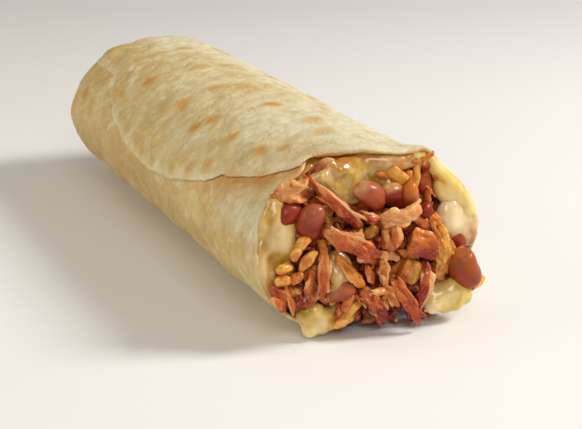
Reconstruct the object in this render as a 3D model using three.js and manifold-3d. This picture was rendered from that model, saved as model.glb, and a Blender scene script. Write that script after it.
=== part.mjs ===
// A burrito lying on its side: a tortilla rolled round shredded chicken, beans, rice and melted cheese.
// One end is folded shut. The other is open, and the filling shows there and spills a little way out of it.
// Millimetres, +Z up. The roll runs along X with its open end at +X, and it rests on z = 0.
// Angles round the roll start at +Y and go over the top, so 90 is the top and 180 the side with the flap.

import * as THREE from "three";
import { mergeVertices } from "three/addons/utils/BufferGeometryUtils.js";
import Module from "manifold-3d";

const wasm = await Module();
wasm.setup();

// The roll, in a frame whose x = 0 is near its middle.
const roll = {
  halfWidth: 34,
  halfHeight: 25.7,
  sink: 1.2, // how far the oval is pressed into the surface, which gives the flat strip that it rests on
  centreHeight: 24.5,
  squareness: 1.91, // exponent of the oval section, where 2 is an ellipse
  sag: 0.037, // the lower half is wider than the upper by this share
  taper: 0.00024, // the roll gets thinner by this share for each millimetre towards the open end
  fullestX: 20,
  rimX: 100,
  shoulderX: -63, // the closed end starts to round off here
  endX: -85.4,
  endSquareness: 3.3,
  endSlant: 3.6, // the closed end leans: its top is further in than its foot
};

// The wrapper is one tortilla, so its free edge shows as a step of one thickness.
const wrapper = {
  thickness: 1.9,
  endThickness: 4.5, // several folded layers close the end
  overlap: { from: 45, to: 158, fade: 20 }, // between these angles there are two layers
  columns: 46,
  bodyRows: 14,
  rowCrowding: 1.3, // the rows of the body lie closer together towards the rim
  capRows: 7,
  innerRows: 4,
  innerCap: [1, 0.7, 0.35], // rows of the inside of the closed end, from the shoulder to its middle
};
const flap = {
  startX: 12,
  startAngle: 175.5,
  fall: 63.5, // degrees that the edge climbs from there to the top of the opening
  curve: 1.75,
  power: 0.8,
  fadeX: [-52, 24], // towards the closed end the edge sinks into the layer below
  lip: 0.5, // the free edge stands off by this much
  lipWidth: 9,
  recovery: 68, // degrees below the edge where the step has gone
  notch: { x: 63.5, width: 3, depth: 3 },
};
const fold = { halfLength: 60.3, angle: 138, curve: 1.5 }; // the edge curls back to this at the closed end
const topSetback = { depth: 6.2, angle: 125, width: 37, power: 4 };
const footSetback = { depth: 13, angle: 286, width: 32, power: 2 };
const raisedCorner = { depth: 1.5, angle: 60, width: 13, power: 2, fromX: 84, toX: 99 };
const crease = { angle: 127, width: 8, height: 1.4, fromX: [-84, -76], toX: [-70, -58] };
const unevenness = { height: 0.35, along: 15, turns: 3, foot: [-0.8, -0.2] }; // it dies out at the foot
const endHollow = { depth: 2.2, outer: 0.86, inner: 0.6, lean: 0.08, angle: 200 };

const gap = 0.3; // clearance between two pieces
const coreClearance = 0.5; // of the filling's core to the wrapper
const restClearance = 0.2; // everything but the wrapper stays this far above the surface

// The open face of the filling leans back towards the top.
const face = { x: 101.6, backFrom: 15, lean: 0.0105, edgeBack: 3, edgeTurn: 6, rows: 5 };
const lumps = { depth: 1.3, pitch: 6.5 };

// Pieces on the face, placed by their centres. tilt is the angle of the long axis from +Y towards +Z.
const beans = [
  { at: [101, -16.9, 32.5], length: 10.2, width: 7.4, tilt: 79, lean: 10 },
  { at: [98.6, -23.0, 34.4], length: 8.6, width: 6.6, tilt: 20, lean: -15 },
  { at: [103.2, -2.2, 37.9], length: 9.4, width: 6.7, tilt: -36, lean: 5 },
  { at: [101.6, 5.6, 36.2], length: 8.8, width: 6.2, tilt: -25, lean: -10 },
  { at: [94.6, -10.2, 43.3], length: 7.6, width: 5.4, tilt: 70, lean: 0 },
  { at: [98.6, 17.2, 38.6], length: 6.4, width: 4.4, tilt: 105, lean: 0 },
  { at: [101.8, 16.2, 31], length: 5.4, width: 4.4, tilt: 100, lean: 0 },
  { at: [103, 11, 36.6], length: 8, width: 5.2, tilt: 108, lean: 8 },
  { at: [103.4, -9.6, 12.6], length: 8, width: 5.4, tilt: 18, lean: 5 },
  { at: [106, 26.6, 14.8], length: 11.8, width: 9, tilt: 115, lean: 12 },
  { at: [99.6, 27.6, 21.4], length: 8, width: 6, tilt: 100, lean: 0 },
];
const bend = { bean: 0.9, grain: 0.3 };
const flatness = 0.92; // a bean or a grain is a little less deep than it is wide
const bluntness = { ovoid: 0.85, shred: 0.4 }; // the lower, the fuller the ends of a piece are
const detail = {
  bean: { rows: 7, sides: 9 },
  grain: { rows: 3, sides: 5 },
  shred: { rows: 8, sides: 6 },
  cheese: { rows: 8, sides: 12 },
};

// Shreds of chicken: flat fibrous strips that run from one point to another over a bow towards +X.
const shreds = [
  { from: [95.6, -17.4, 44.2], to: [105, -5, 30.4], bow: 2.6, width: 4.2, thickness: 2.6, twist: 15 },
  { from: [97.4, -26.4, 39.6], to: [96.6, -16.4, 41.4], bow: 1.6, width: 5.6, thickness: 3.4, twist: 0 },
  { from: [104, -15.6, 30.6], to: [107, -0.2, 22.6], bow: 1.5, width: 4.4, thickness: 1.8, twist: 30 },
  { from: [102.6, -6.6, 34.2], to: [104.8, 1.2, 31.6], bow: 2, width: 3, thickness: 2, twist: 0 },
  { from: [106, -0.6, 33], to: [104.6, 12.6, 33], bow: 1.8, width: 5, thickness: 2.2, twist: -15 },
  { from: [102.6, -15.2, 28.4], to: [105.6, -17, 12.6], bow: 1.6, width: 3.6, thickness: 2.2, twist: 10 },
  { from: [106.4, 3.4, 15.4], to: [108.6, 11.2, 1.6], bow: 1.6, width: 4.6, thickness: 2, twist: -20 },
  { from: [105, 14.2, 18.6], to: [107.4, 9.8, 5.6], bow: 1.8, width: 4, thickness: 2.6, twist: 10 },
  { from: [104.6, -4.6, 14], to: [105.4, 2.4, 3], bow: 1.4, width: 4.6, thickness: 3, twist: 0 },
  { from: [104.6, 3, 31.2], to: [105.4, 2.6, 23.6], bow: 2.4, width: 6, thickness: 3.4, twist: 0 },
  { from: [103.4, 8.4, 25.6], to: [104.4, 16.6, 22.4], bow: 2, width: 6, thickness: 4, twist: 0 },
  { from: [98.4, -25.6, 16.4], to: [99.6, -20.6, 8.4], bow: 1.6, width: 5, thickness: 3.4, twist: 0 },
];

// Melted cheese: smooth pools and tongues. size is the half extent along X, across and up.
const cheeses = {
  cheese_top: { at: [95.6, 1.4, 42.4], size: [4.4, 13.4, 5.2], tilt: -3, wave: 0.1, lobes: 3 },
  cheese_left: { at: [98.2, -25.6, 29.4], size: [3.6, 4.6, 9.4], tilt: 8, wave: 0.08, lobes: 2 },
  cheese_low_left: { at: [99.4, -15.2, 5.4], size: [4.4, 6.6, 3.9], tilt: -14, wave: 0.1, lobes: 3 },
  cheese_middle: { at: [101, -10.6, 18.2], size: [2.4, 4, 6], tilt: 12, wave: 0.08, lobes: 2 },
  cheese_wall: { at: [97, 24.6, 35.4], size: [2.8, 3.4, 6], tilt: 38, wave: 0.06, lobes: 2 },
  cheese_right: { at: [100.4, 25.6, 26.2], size: [3.2, 4.4, 5.6], tilt: 20, wave: 0.1, lobes: 2 },
  cheese_low_right: { at: [104.4, 21, 8], size: [4.2, 7.6, 3.6], tilt: 14, wave: 0.12, lobes: 3 },
};

// Grains of rice, fused to the filling where nothing larger lies.
const rice = {
  count: 84,
  length: 7.6,
  variation: 0.15,
  width: 3,
  lean: 25,
  reach: 0.86,
  spread: 0.18,
  clear: 1.6,
  sunk: 0.3,
  seed: 11,
};
const room = { length: 400, width: 200, height: 200 }; // more than the whole burrito takes up

const DEG = Math.PI / 180;
const { clamp, euclideanModulo, smoothstep, lerp } = THREE.MathUtils;
const signedPower = (value, power) => Math.sign(value) * Math.abs(value) ** power;
const bell = (offset, width) => Math.exp(-((offset / width) ** 2));

// A small seeded generator of numbers from 0 to 1.
function randomSource(seed) {
  let state = seed >>> 0;
  return () => {
    state = (Math.imul(state, 1664525) + 1013904223) >>> 0;
    return state / 2 ** 32;
  };
}

// ---- Solids ----

function solidFromGeometry(geometry) {
  const bare = geometry.clone();
  bare.deleteAttribute("normal");
  bare.deleteAttribute("uv");
  const merged = mergeVertices(bare, 1e-4);
  const corners = [];
  for (let i = 0; i < merged.index.count; i += 3) {
    const [a, b, c] = merged.index.array.subarray(i, i + 3);
    if (a !== b && b !== c && c !== a) corners.push(a, b, c);
  }
  const build = (triVerts) =>
    new wasm.Manifold(
      new wasm.Mesh({
        numProp: 3,
        vertProperties: merged.attributes.position.array,
        triVerts: new Uint32Array(triVerts),
      }),
    );
  const solid = build(corners);
  return solid.volume() > 0 ? solid : build(corners.reverse());
}

function geometryFromSolid(solid) {
  const mesh = solid.getMesh();
  const geometry = new THREE.BufferGeometry();
  geometry.setAttribute("position", new THREE.BufferAttribute(mesh.vertProperties, 3));
  geometry.setIndex(new THREE.BufferAttribute(mesh.triVerts, 1));
  geometry.computeVertexNormals();
  return geometry;
}

// A closed surface through rings of equally many points, with one point at each end.
function loft(start, rings, end) {
  const count = rings[0].length;
  const points = [start, ...rings.flat(), end];
  const last = points.length - 1;
  const corner = (row, column) => 1 + row * count + (column % count);
  const triangles = [];
  for (let c = 0; c < count; c++) {
    triangles.push(0, corner(0, c + 1), corner(0, c));
    triangles.push(last, corner(rings.length - 1, c), corner(rings.length - 1, c + 1));
    for (let r = 0; r + 1 < rings.length; r++) {
      const [a, b] = [corner(r, c), corner(r, c + 1)];
      const [d, e] = [corner(r + 1, c), corner(r + 1, c + 1)];
      triangles.push(a, b, e, a, e, d);
    }
  }
  const geometry = new THREE.BufferGeometry().setFromPoints(points);
  geometry.setIndex(triangles);
  return geometry;
}

const largestBody = (solid) =>
  solid.decompose().reduce((best, body) => (body.volume() > best.volume() ? body : best));

// ---- The rolled shape ----

// The roll's oval section at full size: a point and the outward direction there.
function ovalSection(angle) {
  const at = (a) => {
    const across = signedPower(Math.cos(a), 2 / roll.squareness);
    const up = signedPower(Math.sin(a), 2 / roll.squareness);
    return [roll.halfWidth * across * (1 - roll.sag * up), roll.halfHeight * (1 + up) - roll.sink];
  };
  const step = 0.5 * DEG;
  const [y0, z0] = at(angle - step);
  const [y1, z1] = at(angle + step);
  const length = Math.hypot(y1 - y0, z1 - z0);
  const [y, z] = at(angle);
  return { y, z, outY: (z1 - z0) / length, outZ: (y0 - y1) / length };
}

// A point of the roll: size is 1 on the body and shrinks to 0 at the closed end's middle.
function rollPoint(x, size, degrees, depth) {
  const section = ovalSection(degrees * DEG);
  const scale = 1 - roll.taper * (x - roll.fullestX);
  const y = (scale * section.y - depth * section.outY) * size;
  const rise = scale * section.z - depth * section.outZ - roll.centreHeight;
  const z = Math.max(roll.centreHeight + rise * size, depth);
  const inEnd = smoothstep(-x, -roll.shoulderX, -roll.endX);
  const slant = roll.endSlant * inEnd * (z / roll.centreHeight - 1);
  return new THREE.Vector3(x + slant, y, z);
}

// How far the fold at the closed end opens at x, as a share of its widest.
function foldReach(x) {
  const back = clamp((flap.startX - x) / fold.halfLength, 0, 1);
  return (1 - back ** fold.curve) ** (1 / fold.curve);
}

// Where the flap's edge lies, in degrees, at x. Towards the closed end it follows the fold there.
function flapAngle(x) {
  const length = roll.rimX - topSetback.depth - flap.startX;
  const along = clamp((x - flap.startX) / length, 0, 1);
  const climb = flap.fall * (1 - (1 - along ** flap.curve) ** flap.power);
  const curl = (flap.startAngle - fold.angle) * (1 - foldReach(x));
  const notch = flap.notch.depth * bell(x - flap.notch.x, flap.notch.width);
  return flap.startAngle - climb - curl - notch;
}

const degreesApart = (a, b) => euclideanModulo(a - b + 180, 360) - 180;
const setback = ({ depth, angle, width, power }, degrees) =>
  depth * Math.exp(-((Math.abs(degreesApart(degrees, angle)) / width) ** power));
const rimX = (degrees) => roll.rimX - setback(topSetback, degrees) - setback(footSetback, degrees);

// How deep the outer face lies under the smooth roll, for the flap's step, its lip and the end's crease.
function wrapperDepth(x, degrees) {
  const below = euclideanModulo(degrees - flapAngle(x), 360);
  const step = wrapper.thickness * (1 - smoothstep(below, 0, flap.recovery));
  const lip = flap.lip * Math.exp((below - 360) / flap.lipWidth);
  const folded = smoothstep(x, ...crease.fromX) * (1 - smoothstep(x, ...crease.toX));
  const ridge = crease.height * folded * bell(degreesApart(degrees, crease.angle), crease.width);
  const atRim = smoothstep(x, raisedCorner.fromX, raisedCorner.toX);
  const corner = atRim * setback(raisedCorner, degrees);
  const around = unevenness.turns * degrees * DEG;
  const wave = Math.sin(x / unevenness.along + around) * Math.cos(x / unevenness.along);
  const uneven = unevenness.height * wave * smoothstep(Math.sin(degrees * DEG), ...unevenness.foot);
  return smoothstep(x, ...flap.fadeX) * (step - lip) - ridge - corner - uneven;
}

// How deep the inner face lies: one layer, or two where the layers overlap.
function layersDepth(degrees) {
  const { from, to, fade } = wrapper.overlap;
  const turned = euclideanModulo(degrees, 360);
  const second = smoothstep(turned, from, from + fade) * (1 - smoothstep(turned, to, to + fade));
  return wrapper.thickness * (1 + second);
}

// Rows of the closed end, from its middle to the shoulder, for a cap that stops short by thickness.
function capRow(fraction, thickness) {
  const turn = (1 - fraction) * 90 * DEG;
  const power = 2 / roll.endSquareness;
  const length = roll.shoulderX - roll.endX - thickness;
  return { x: roll.shoulderX - length * Math.sin(turn) ** power, size: Math.cos(turn) ** power };
}

function endRecess(size, degrees) {
  const reach = size + endHollow.lean * Math.cos((degrees - endHollow.angle) * DEG);
  return endHollow.depth * (1 - smoothstep(reach, endHollow.inner, endHollow.outer));
}

const columnAngles = (x, steps) =>
  Array.from({ length: wrapper.columns + 1 }, (_, i) => flapAngle(x) + (360 * i) / steps);

const hair = 1e-6; // the first and the last column lie this much to either side of the free edge

// grow makes the thicker copy that cuts clearance out of the neighbours.
function tortillaSolid(grow) {
  const rings = [];
  for (let i = 1; i < wrapper.capRows; i++) {
    const { x, size } = capRow(i / wrapper.capRows, -grow);
    rings.push(
      columnAngles(x, wrapper.columns).map((degrees) =>
        rollPoint(x + endRecess(size, degrees), size, degrees, wrapperDepth(x, degrees) - grow),
      ),
    );
  }
  for (let i = 0; i <= wrapper.bodyRows; i++) {
    const along = 1 - (1 - i / wrapper.bodyRows) ** wrapper.rowCrowding;
    const nominalX = lerp(roll.shoulderX, roll.rimX, along);
    rings.push(
      columnAngles(nominalX, wrapper.columns).map((degrees, column) => {
        const x = lerp(roll.shoulderX, rimX(degrees) + grow, along);
        const inside = column === 0 ? hair : column === wrapper.columns ? -hair : 0;
        return rollPoint(x, 1, degrees, wrapperDepth(nominalX, degrees + inside) - grow);
      }),
    );
  }
  rings.push(...innerRings(grow, (degrees) => rimX(degrees) + grow));
  const recess = (thickness) => new THREE.Vector3(roll.endX + thickness, 0, roll.centreHeight);
  return solidFromGeometry(loft(recess(endHollow.depth - grow), rings, recess(wrapper.endThickness + grow)));
}

// The wrapper's inner face from the rim to the closed end, moved inwards by clearance.
function innerRings(clearance, frontX) {
  const angles = columnAngles(roll.rimX, wrapper.columns + 1);
  const ring = (size, xAt) =>
    angles.map((degrees) => rollPoint(xAt(degrees), size, degrees, layersDepth(degrees) + clearance));
  const rings = [];
  for (let i = 0; i < wrapper.innerRows; i++) {
    rings.push(ring(1, (degrees) => lerp(frontX(degrees), roll.shoulderX, i / wrapper.innerRows)));
  }
  for (const fraction of wrapper.innerCap) {
    const { x, size } = capRow(fraction, wrapper.endThickness + clearance);
    rings.push(ring(size, () => x));
  }
  return rings;
}

// ---- The filling ----

function faceX(y, z) {
  const back = face.lean * Math.max(0, z - face.backFrom) ** 2;
  const crossing = Math.sin(y / lumps.pitch + 1) * Math.cos(z / lumps.pitch);
  const slanting = Math.sin((y + z) / lumps.pitch);
  return face.x - back + lumps.depth * 0.5 * (crossing + slanting);
}

function coreSolid() {
  const edgeX = (degrees) => rimX(degrees) - face.edgeBack;
  const side = innerRings(coreClearance, edgeX);
  const front = [];
  for (let i = 1; i < face.rows; i++) {
    const size = 1 - i / face.rows;
    front.push(
      side[0].map((point) => {
        const y = point.y * size;
        const z = roll.centreHeight + (point.z - roll.centreHeight) * size;
        return new THREE.Vector3(lerp(faceX(y, z), point.x, size ** face.edgeTurn), y, z);
      }),
    );
  }
  const middle = new THREE.Vector3(faceX(0, roll.centreHeight), 0, roll.centreHeight);
  const backX = roll.endX + wrapper.endThickness + coreClearance;
  const back = new THREE.Vector3(backX, 0, roll.centreHeight);
  return solidFromGeometry(loft(middle, [...front.reverse(), ...side], back));
}

// Unit directions of a piece on the face: along its length, across it, and out of the face.
function pieceAxes(tilt, lean) {
  const along = new THREE.Vector3(
    Math.sin(lean * DEG),
    Math.cos(tilt * DEG) * Math.cos(lean * DEG),
    Math.sin(tilt * DEG) * Math.cos(lean * DEG),
  );
  const out = new THREE.Vector3(1, 0, 0).addScaledVector(along, -along.x).normalize();
  return { along, out, across: new THREE.Vector3().crossVectors(out, along) };
}

// A rounded body with a slightly bent long axis, such as a bean or a grain.
function ovoid({ kind, centre, axes, length, width, grow = 0 }) {
  const { rows, sides } = detail[kind];
  const halfLength = length / 2 + grow;
  const radius = width / 2 + grow;
  const at = (u, around, share) => {
    const spine = bend[kind] * (1 - u * u);
    const point = centre.clone().addScaledVector(axes.along, u * halfLength);
    point.addScaledVector(axes.across, spine + Math.cos(around) * radius * share);
    return point.addScaledVector(axes.out, Math.sin(around) * radius * share * flatness);
  };
  const rings = [];
  for (let i = 1; i < rows; i++) {
    const turn = (i / rows) * Math.PI;
    const [u, share] = [-Math.cos(turn), Math.sin(turn) ** bluntness.ovoid];
    rings.push(Array.from({ length: sides }, (_, k) => at(u, (2 * Math.PI * k) / sides, share)));
  }
  return solidFromGeometry(loft(at(-1, 0, 0), rings, at(1, 0, 0)));
}

function beanSolid({ at, length, width, tilt, lean }, grow) {
  const centre = new THREE.Vector3(...at);
  return ovoid({ kind: "bean", centre, axes: pieceAxes(tilt, lean), length, width, grow });
}

function shredSolid({ from, to, bow, width, thickness, twist }, grow) {
  const start = new THREE.Vector3(...from);
  const end = new THREE.Vector3(...to);
  const middle = start.clone().lerp(end, 0.5);
  middle.x += 2 * bow;
  const along = end.clone().sub(start).normalize();
  start.addScaledVector(along, -grow);
  end.addScaledVector(along, grow);
  const path = new THREE.QuadraticBezierCurve3(start, middle, end);
  const { rows, sides } = detail.shred;
  const rings = [];
  for (let i = 1; i < rows; i++) {
    const u = i / rows;
    const centre = path.getPoint(u);
    const tangent = path.getTangent(u);
    const out = new THREE.Vector3(1, 0, 0).addScaledVector(tangent, -tangent.x).normalize();
    out.applyAxisAngle(tangent, twist * DEG * (2 * u - 1));
    const across = new THREE.Vector3().crossVectors(out, tangent);
    const share = Math.sin(u * Math.PI) ** bluntness.shred;
    rings.push(
      Array.from({ length: sides }, (_, k) => {
        const around = (2 * Math.PI * k) / sides;
        const point = centre.clone();
        point.addScaledVector(across, Math.cos(around) * ((width / 2) * share + grow));
        return point.addScaledVector(out, Math.sin(around) * ((thickness / 2) * share + grow));
      }),
    );
  }
  return solidFromGeometry(loft(start, rings, end));
}

function cheeseSolid({ at, size, tilt, wave, lobes }, grow) {
  const centre = new THREE.Vector3(...at);
  const axes = pieceAxes(tilt, 0);
  const { rows, sides } = detail.cheese;
  const point = (turn, around) => {
    const swell = 1 + wave * Math.sin(lobes * around + 2 * turn) * Math.sin(turn);
    const across = -Math.cos(turn);
    const up = Math.sin(turn) * Math.cos(around);
    const out = Math.sin(turn) * Math.sin(around);
    return centre
      .clone()
      .addScaledVector(axes.along, across * (size[1] * swell + grow))
      .addScaledVector(axes.across, up * (size[2] * swell + grow))
      .addScaledVector(axes.out, out * (size[0] * swell + grow));
  };
  const rings = [];
  for (let i = 1; i < rows; i++) {
    const turn = (i / rows) * Math.PI;
    rings.push(Array.from({ length: sides }, (_, k) => point(turn, (2 * Math.PI * k) / sides)));
  }
  return solidFromGeometry(loft(point(0, 0), rings, point(Math.PI, 0)));
}

// Grains lie flat on the face, on a spiral that covers it evenly, and are left out where a larger piece is.
function riceSolids(occupied) {
  const random = randomSource(rice.seed);
  const golden = Math.PI * (3 - Math.sqrt(5));
  const grains = [];
  for (let i = 0; i < rice.count; i++) {
    const reach = rice.reach * Math.sqrt((i + 0.5) / rice.count);
    const turn = i * golden + rice.spread * (random() - 0.5);
    const tilt = 360 * random();
    const lean = rice.lean * (2 * random() - 1);
    const length = rice.length * (1 + rice.variation * (2 * random() - 1));
    const edge = rollPoint(roll.rimX, 1, turn / DEG, 2 * wrapper.thickness);
    const y = edge.y * reach;
    const z = roll.centreHeight + (edge.z - roll.centreHeight) * reach;
    if (occupied.some((spot) => Math.hypot(spot.y - y, spot.z - z) < spot.radius + rice.clear)) continue;
    const centre = new THREE.Vector3(faceX(y, z) + rice.sunk * rice.width, y, z);
    grains.push(ovoid({ kind: "grain", centre, axes: pieceAxes(tilt, lean), length, width: rice.width }));
  }
  return grains;
}

// ---- Materials ----

const finish = (color, roughness) => new THREE.MeshStandardMaterial({ color, roughness, metalness: 0 });
const finishes = {
  tortilla: finish(0xe6d3a2, 0.75),
  filling: finish(0xd98a3c, 0.6),
  bean: finish(0xa8553a, 0.4),
  shred: finish(0xcb7b45, 0.65),
  cheese: finish(0xeee0a0, 0.3),
};

// ---- Assembly ----

// Later pieces give way to earlier ones: each is cut back to leave the clearance.
const roomBox = new THREE.BoxGeometry(room.length, room.width, room.height);
const aboveSurface = solidFromGeometry(roomBox.translate(0, 0, room.height / 2 + restClearance));
const pieces = new Map([["tortilla", tortillaSolid(0)]]);
let taken = tortillaSolid(gap);
function place(name, solid, grown) {
  pieces.set(name, largestBody(solid.intersect(aboveSurface).subtract(taken)));
  taken = taken.add(grown);
}
beans.forEach((bean, i) => place(`bean_${i + 1}`, beanSolid(bean, 0), beanSolid(bean, gap)));
shreds.forEach((shred, i) => place(`shred_${i + 1}`, shredSolid(shred, 0), shredSolid(shred, gap)));
for (const [name, cheese] of Object.entries(cheeses)) {
  place(name, cheeseSolid(cheese, 0), cheeseSolid(cheese, gap));
}

const spots = [...beans, ...Object.values(cheeses)].map(({ at, width, size }) => {
  const radius = width ? width / 2 : Math.min(size[1], size[2]);
  return { y: at[1], z: at[2], radius };
});
const filling = riceSolids(spots).reduce((sum, grain) => sum.add(grain), coreSolid());
pieces.set("filling", largestBody(filling.intersect(aboveSurface).subtract(taken)));

const rolled = new THREE.Group();
for (const [name, solid] of pieces) {
  const mesh = new THREE.Mesh(geometryFromSolid(solid), finishes[name.split("_")[0]]);
  mesh.name = name;
  rolled.add(mesh);
}
const box = new THREE.Box3().setFromObject(rolled);
rolled.position.set(-(box.min.x + box.max.x) / 2, -(box.min.y + box.max.y) / 2, -box.min.z);

const burrito = new THREE.Group();
burrito.name = "burrito";
burrito.add(rolled);

export default burrito;
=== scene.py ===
"""A chicken, bean and rice burrito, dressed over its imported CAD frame.

Shapes are made in millimetres in the roll's own frame. There x runs along the roll to the open end, z = 0 is
what it rests on, and an angle round it starts at +y and goes over the top. add_piece() moves the shapes to
the part's frame.
"""
import math

import bpy
import numpy as np
from mathutils import Matrix, Vector, noise


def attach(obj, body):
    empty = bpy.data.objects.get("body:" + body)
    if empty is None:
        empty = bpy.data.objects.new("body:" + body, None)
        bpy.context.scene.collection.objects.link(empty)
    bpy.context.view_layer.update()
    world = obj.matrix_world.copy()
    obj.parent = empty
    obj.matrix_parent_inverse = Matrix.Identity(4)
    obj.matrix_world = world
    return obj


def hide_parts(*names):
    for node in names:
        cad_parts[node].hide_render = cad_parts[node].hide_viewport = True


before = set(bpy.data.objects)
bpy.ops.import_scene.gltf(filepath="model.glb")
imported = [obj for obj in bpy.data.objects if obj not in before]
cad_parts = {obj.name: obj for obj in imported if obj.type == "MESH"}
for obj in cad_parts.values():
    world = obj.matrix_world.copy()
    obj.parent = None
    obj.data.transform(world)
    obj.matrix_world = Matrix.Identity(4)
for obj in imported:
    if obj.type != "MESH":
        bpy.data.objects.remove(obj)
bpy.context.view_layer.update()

MM = 0.001
ROLL_AT = np.array([-12.84, 0.08, 0.0])  # the roll's frame in the part's frame
FLOOR_GAP = 0.2  # the filling stays this far above what the roll rests on

# The roll as the CAD source has it.
HALF_WIDTH, HALF_HEIGHT = 34, 25.7
SINK = 1.2
CENTRE_HEIGHT = 24.5
SQUARENESS = 1.91
SAG = 0.037
TAPER, FULLEST_X = 0.00024, 20
RIM_X, SHOULDER_X, END_X = 100, -63, -85.4
END_SQUARENESS, END_SLANT = 3.3, 3.6
STEP = 1.9  # thickness of one layer in the CAD source
FLAP = {"start_x": 12, "start": 175.5, "fall": 63.5, "curve": 1.75, "power": 0.8, "fade_x": (-52, 24),
        "recovery": 68}
FOLD = {"half_length": 60.3, "angle": 138, "curve": 1.5}  # towards the end the flap's edge curls round this
LIP = {"rise": 0.25, "width": 9}
NOTCH = {"depth": 3, "x": 63.5, "width": 3}
TOP_SETBACK = {"depth": 6.2, "angle": 125, "width": 37, "power": 4}
FOOT_SETBACK = {"depth": 13, "angle": 286, "width": 32}
CORNER = {"depth": 1.5, "angle": 60, "width": 13, "fade_x": (84, 99)}
FLAP_CORNER = {"depth": 3.5, "angle": 113, "width": 10}  # this one and the next are only in the scene
RIM_PEAK = {"depth": 1.3, "angle": 60, "width": 5, "fade_x": (89, 98)}
CREASE = {"depth": 1.4, "angle": 127, "width": 8, "fade_x": (-84, -76), "end_x": (-70, -58)}
WAVE = {"depth": 0.35, "length": 15, "turns": 3}
END_HOLLOW = {"depth": 2.2, "outer": 0.86, "inner": 0.6, "lean": 0.08, "angle": 200}
FACE_X, FACE_LEAN, FACE_BACK_FROM = 101.6, 0.0105, 15
LUMPS = {"depth": 1.3, "pitch": 6.5}

# The sheet that is rolled up, finer than in the CAD source.
SHEET_THICKNESS, SHEET_EDGE = 1.45, 0.45
EDGE_TAPER = 14  # degrees over which the sheet thins towards its free edge
RIM_THINNING = {"by": 0.35, "fade_x": (84, 96)}
UNEVEN_THICKNESS = 0.25  # as a share of the thickness
FLAP_STEP = 0.7  # the layer under the flap lies this much deeper
FLAP_HANG = [(4.5, 68, 84), (-2.5, 84, 92)]  # the free edge hangs lower by so many degrees, from x to x
TUCK = 64  # degrees that the sheet goes on under the flap
TUCK_SETBACK = 1.6  # the layer that has gone under the flap ends this far behind the rim
EDGE_WAVE, RIM_WAVE = 1.1, 0.9  # how uneven the free edge is in degrees, and the rim
RIM_ROUNDING = 0.42
MM_PER_DEGREE = 0.53
UNDULATION = {"depth": 0.4, "pitch": 21}
BROAD_WRINKLES = {"depth": 0.55, "pitch": (5.5, 8, 8)}
FINE_WRINKLES = {"depth": 0.4, "pitch": (3.8, 5.2, 5.2), "crease": 0.2}
END_FOLD = {"depth": 0.45, "fade_x": (-34, -12)}  # the fold that curls round near the closed end
PLEATS = {"count": 6, "depth": 1.3}  # on the closed end
SHEET_COLUMNS, BODY_ROWS, CAP_ROWS = 241, 236, 58
FACE_ROWS = 66  # of the core, from the rim to the middle of its open face

# Toasted spots: x, angle, radius and strength.
TOAST = [
    (-60, 159, 3.6, 1.0), (-22, 127, 4.0, 0.9), (-35, 144, 5.0, 0.45), (11, 128, 3.8, 0.75),
    (31, 136, 2.9, 0.95), (35, 126, 3.0, 0.95), (53, 129, 3.6, 0.7), (71, 127, 3.6, 0.8),
    (77, 119, 2.3, 0.7), (42, 96, 3.3, 1.0), (14, 106, 3.6, 0.75), (21, 96, 4.0, 0.75),
    (-14, 100, 3.4, 0.6), (-44, 89, 3.6, 0.7), (-44, 106, 4.0, 0.5), (-47, 119, 2.6, 0.4),
    (-73, 123, 4.5, 0.7), (54, 93, 2.6, 0.45), (65, 92, 4.2, 0.6), (32, 63, 3.2, 0.6),
    (76, 94, 4.0, 0.5), (-53, 53, 4.5, 0.55), (-12, 82, 3.4, 0.45), (-68, 208, 4.6, 1.0),
    (-42, 199, 3.8, 0.85), (-3, 178, 2.6, 0.8), (0, 163, 2.6, 0.4), (8, 168, 2.2, 0.55),
    (-21, 156, 2.4, 0.4), (47, 156, 2.6, 0.75), (55, 150, 2.8, 0.7), (36, 163, 2.4, 0.7),
    (19, 168, 2.4, 0.5), (83, 139, 4.5, 0.5), (71, 148, 4.5, 0.5),
]
SIDE_SPOTS, FAINT_SPOTS = 55, 170  # more spots on the other sides, and faint ones all over

# Larger patches. Along x they rise from the first place to the second, or lie round a middle; then come the
# angle and how wide they are, in degrees, and how strong they are.
DARK_PATCHES = [
    ({"rise": (56, 16)}, 192, 24, 0.2), ({"middle": (-59, 14)}, 124, 16, 0.18),
    ({"rise": (64, 86)}, 113, 17, 0.24), ({"rise": (82, 96)}, 187, 20, 0.2),
]
# painted shade in toast colours, over the first three dark patches
TOASTED_PATCHES = [(place, angle, width, 0.25) for place, angle, width, _ in DARK_PATCHES[:3]]
# painted light: patches where the outer side is paler
PALE_PATCHES = [({"middle": (5, 48)}, 100, 34, 0.52), ({"middle": (30, 18)}, 142, 10, 0.5)]
PALE_BY_OPENING = ({"rise": (62, 84)}, 160, 14, 0.75)

# Dark gaps between the pieces on the open face: y, z and radius.
HOLLOWS = [
    (-3.6, 30.4, 4.2), (-17.7, 25.7, 2.6), (-1.6, 13.4, 3.0), (-4.9, 17.2, 3.0), (12.4, 20.5, 2.6),
    (19.2, 31.6, 2.6), (-2.6, 8.4, 3.4),
]
HOLLOW_DEPTH = 4.2
LOOSE_GRAINS = 70  # rice on the open face besides the grains that stand out
GRAIN_BEND, GRAIN_BLUNT = 0.3, 0.65
SCRAPS, SPILL, CRUMBS = 420, 90, 26  # torn bits on the face, low under its edge, and crumbs on the rim
SCRAP_REACH = (31, 23)  # how far to the side and up the torn bits go
STRIP_SHARE = 0.6  # of the torn bits, the rest are blocks

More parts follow.
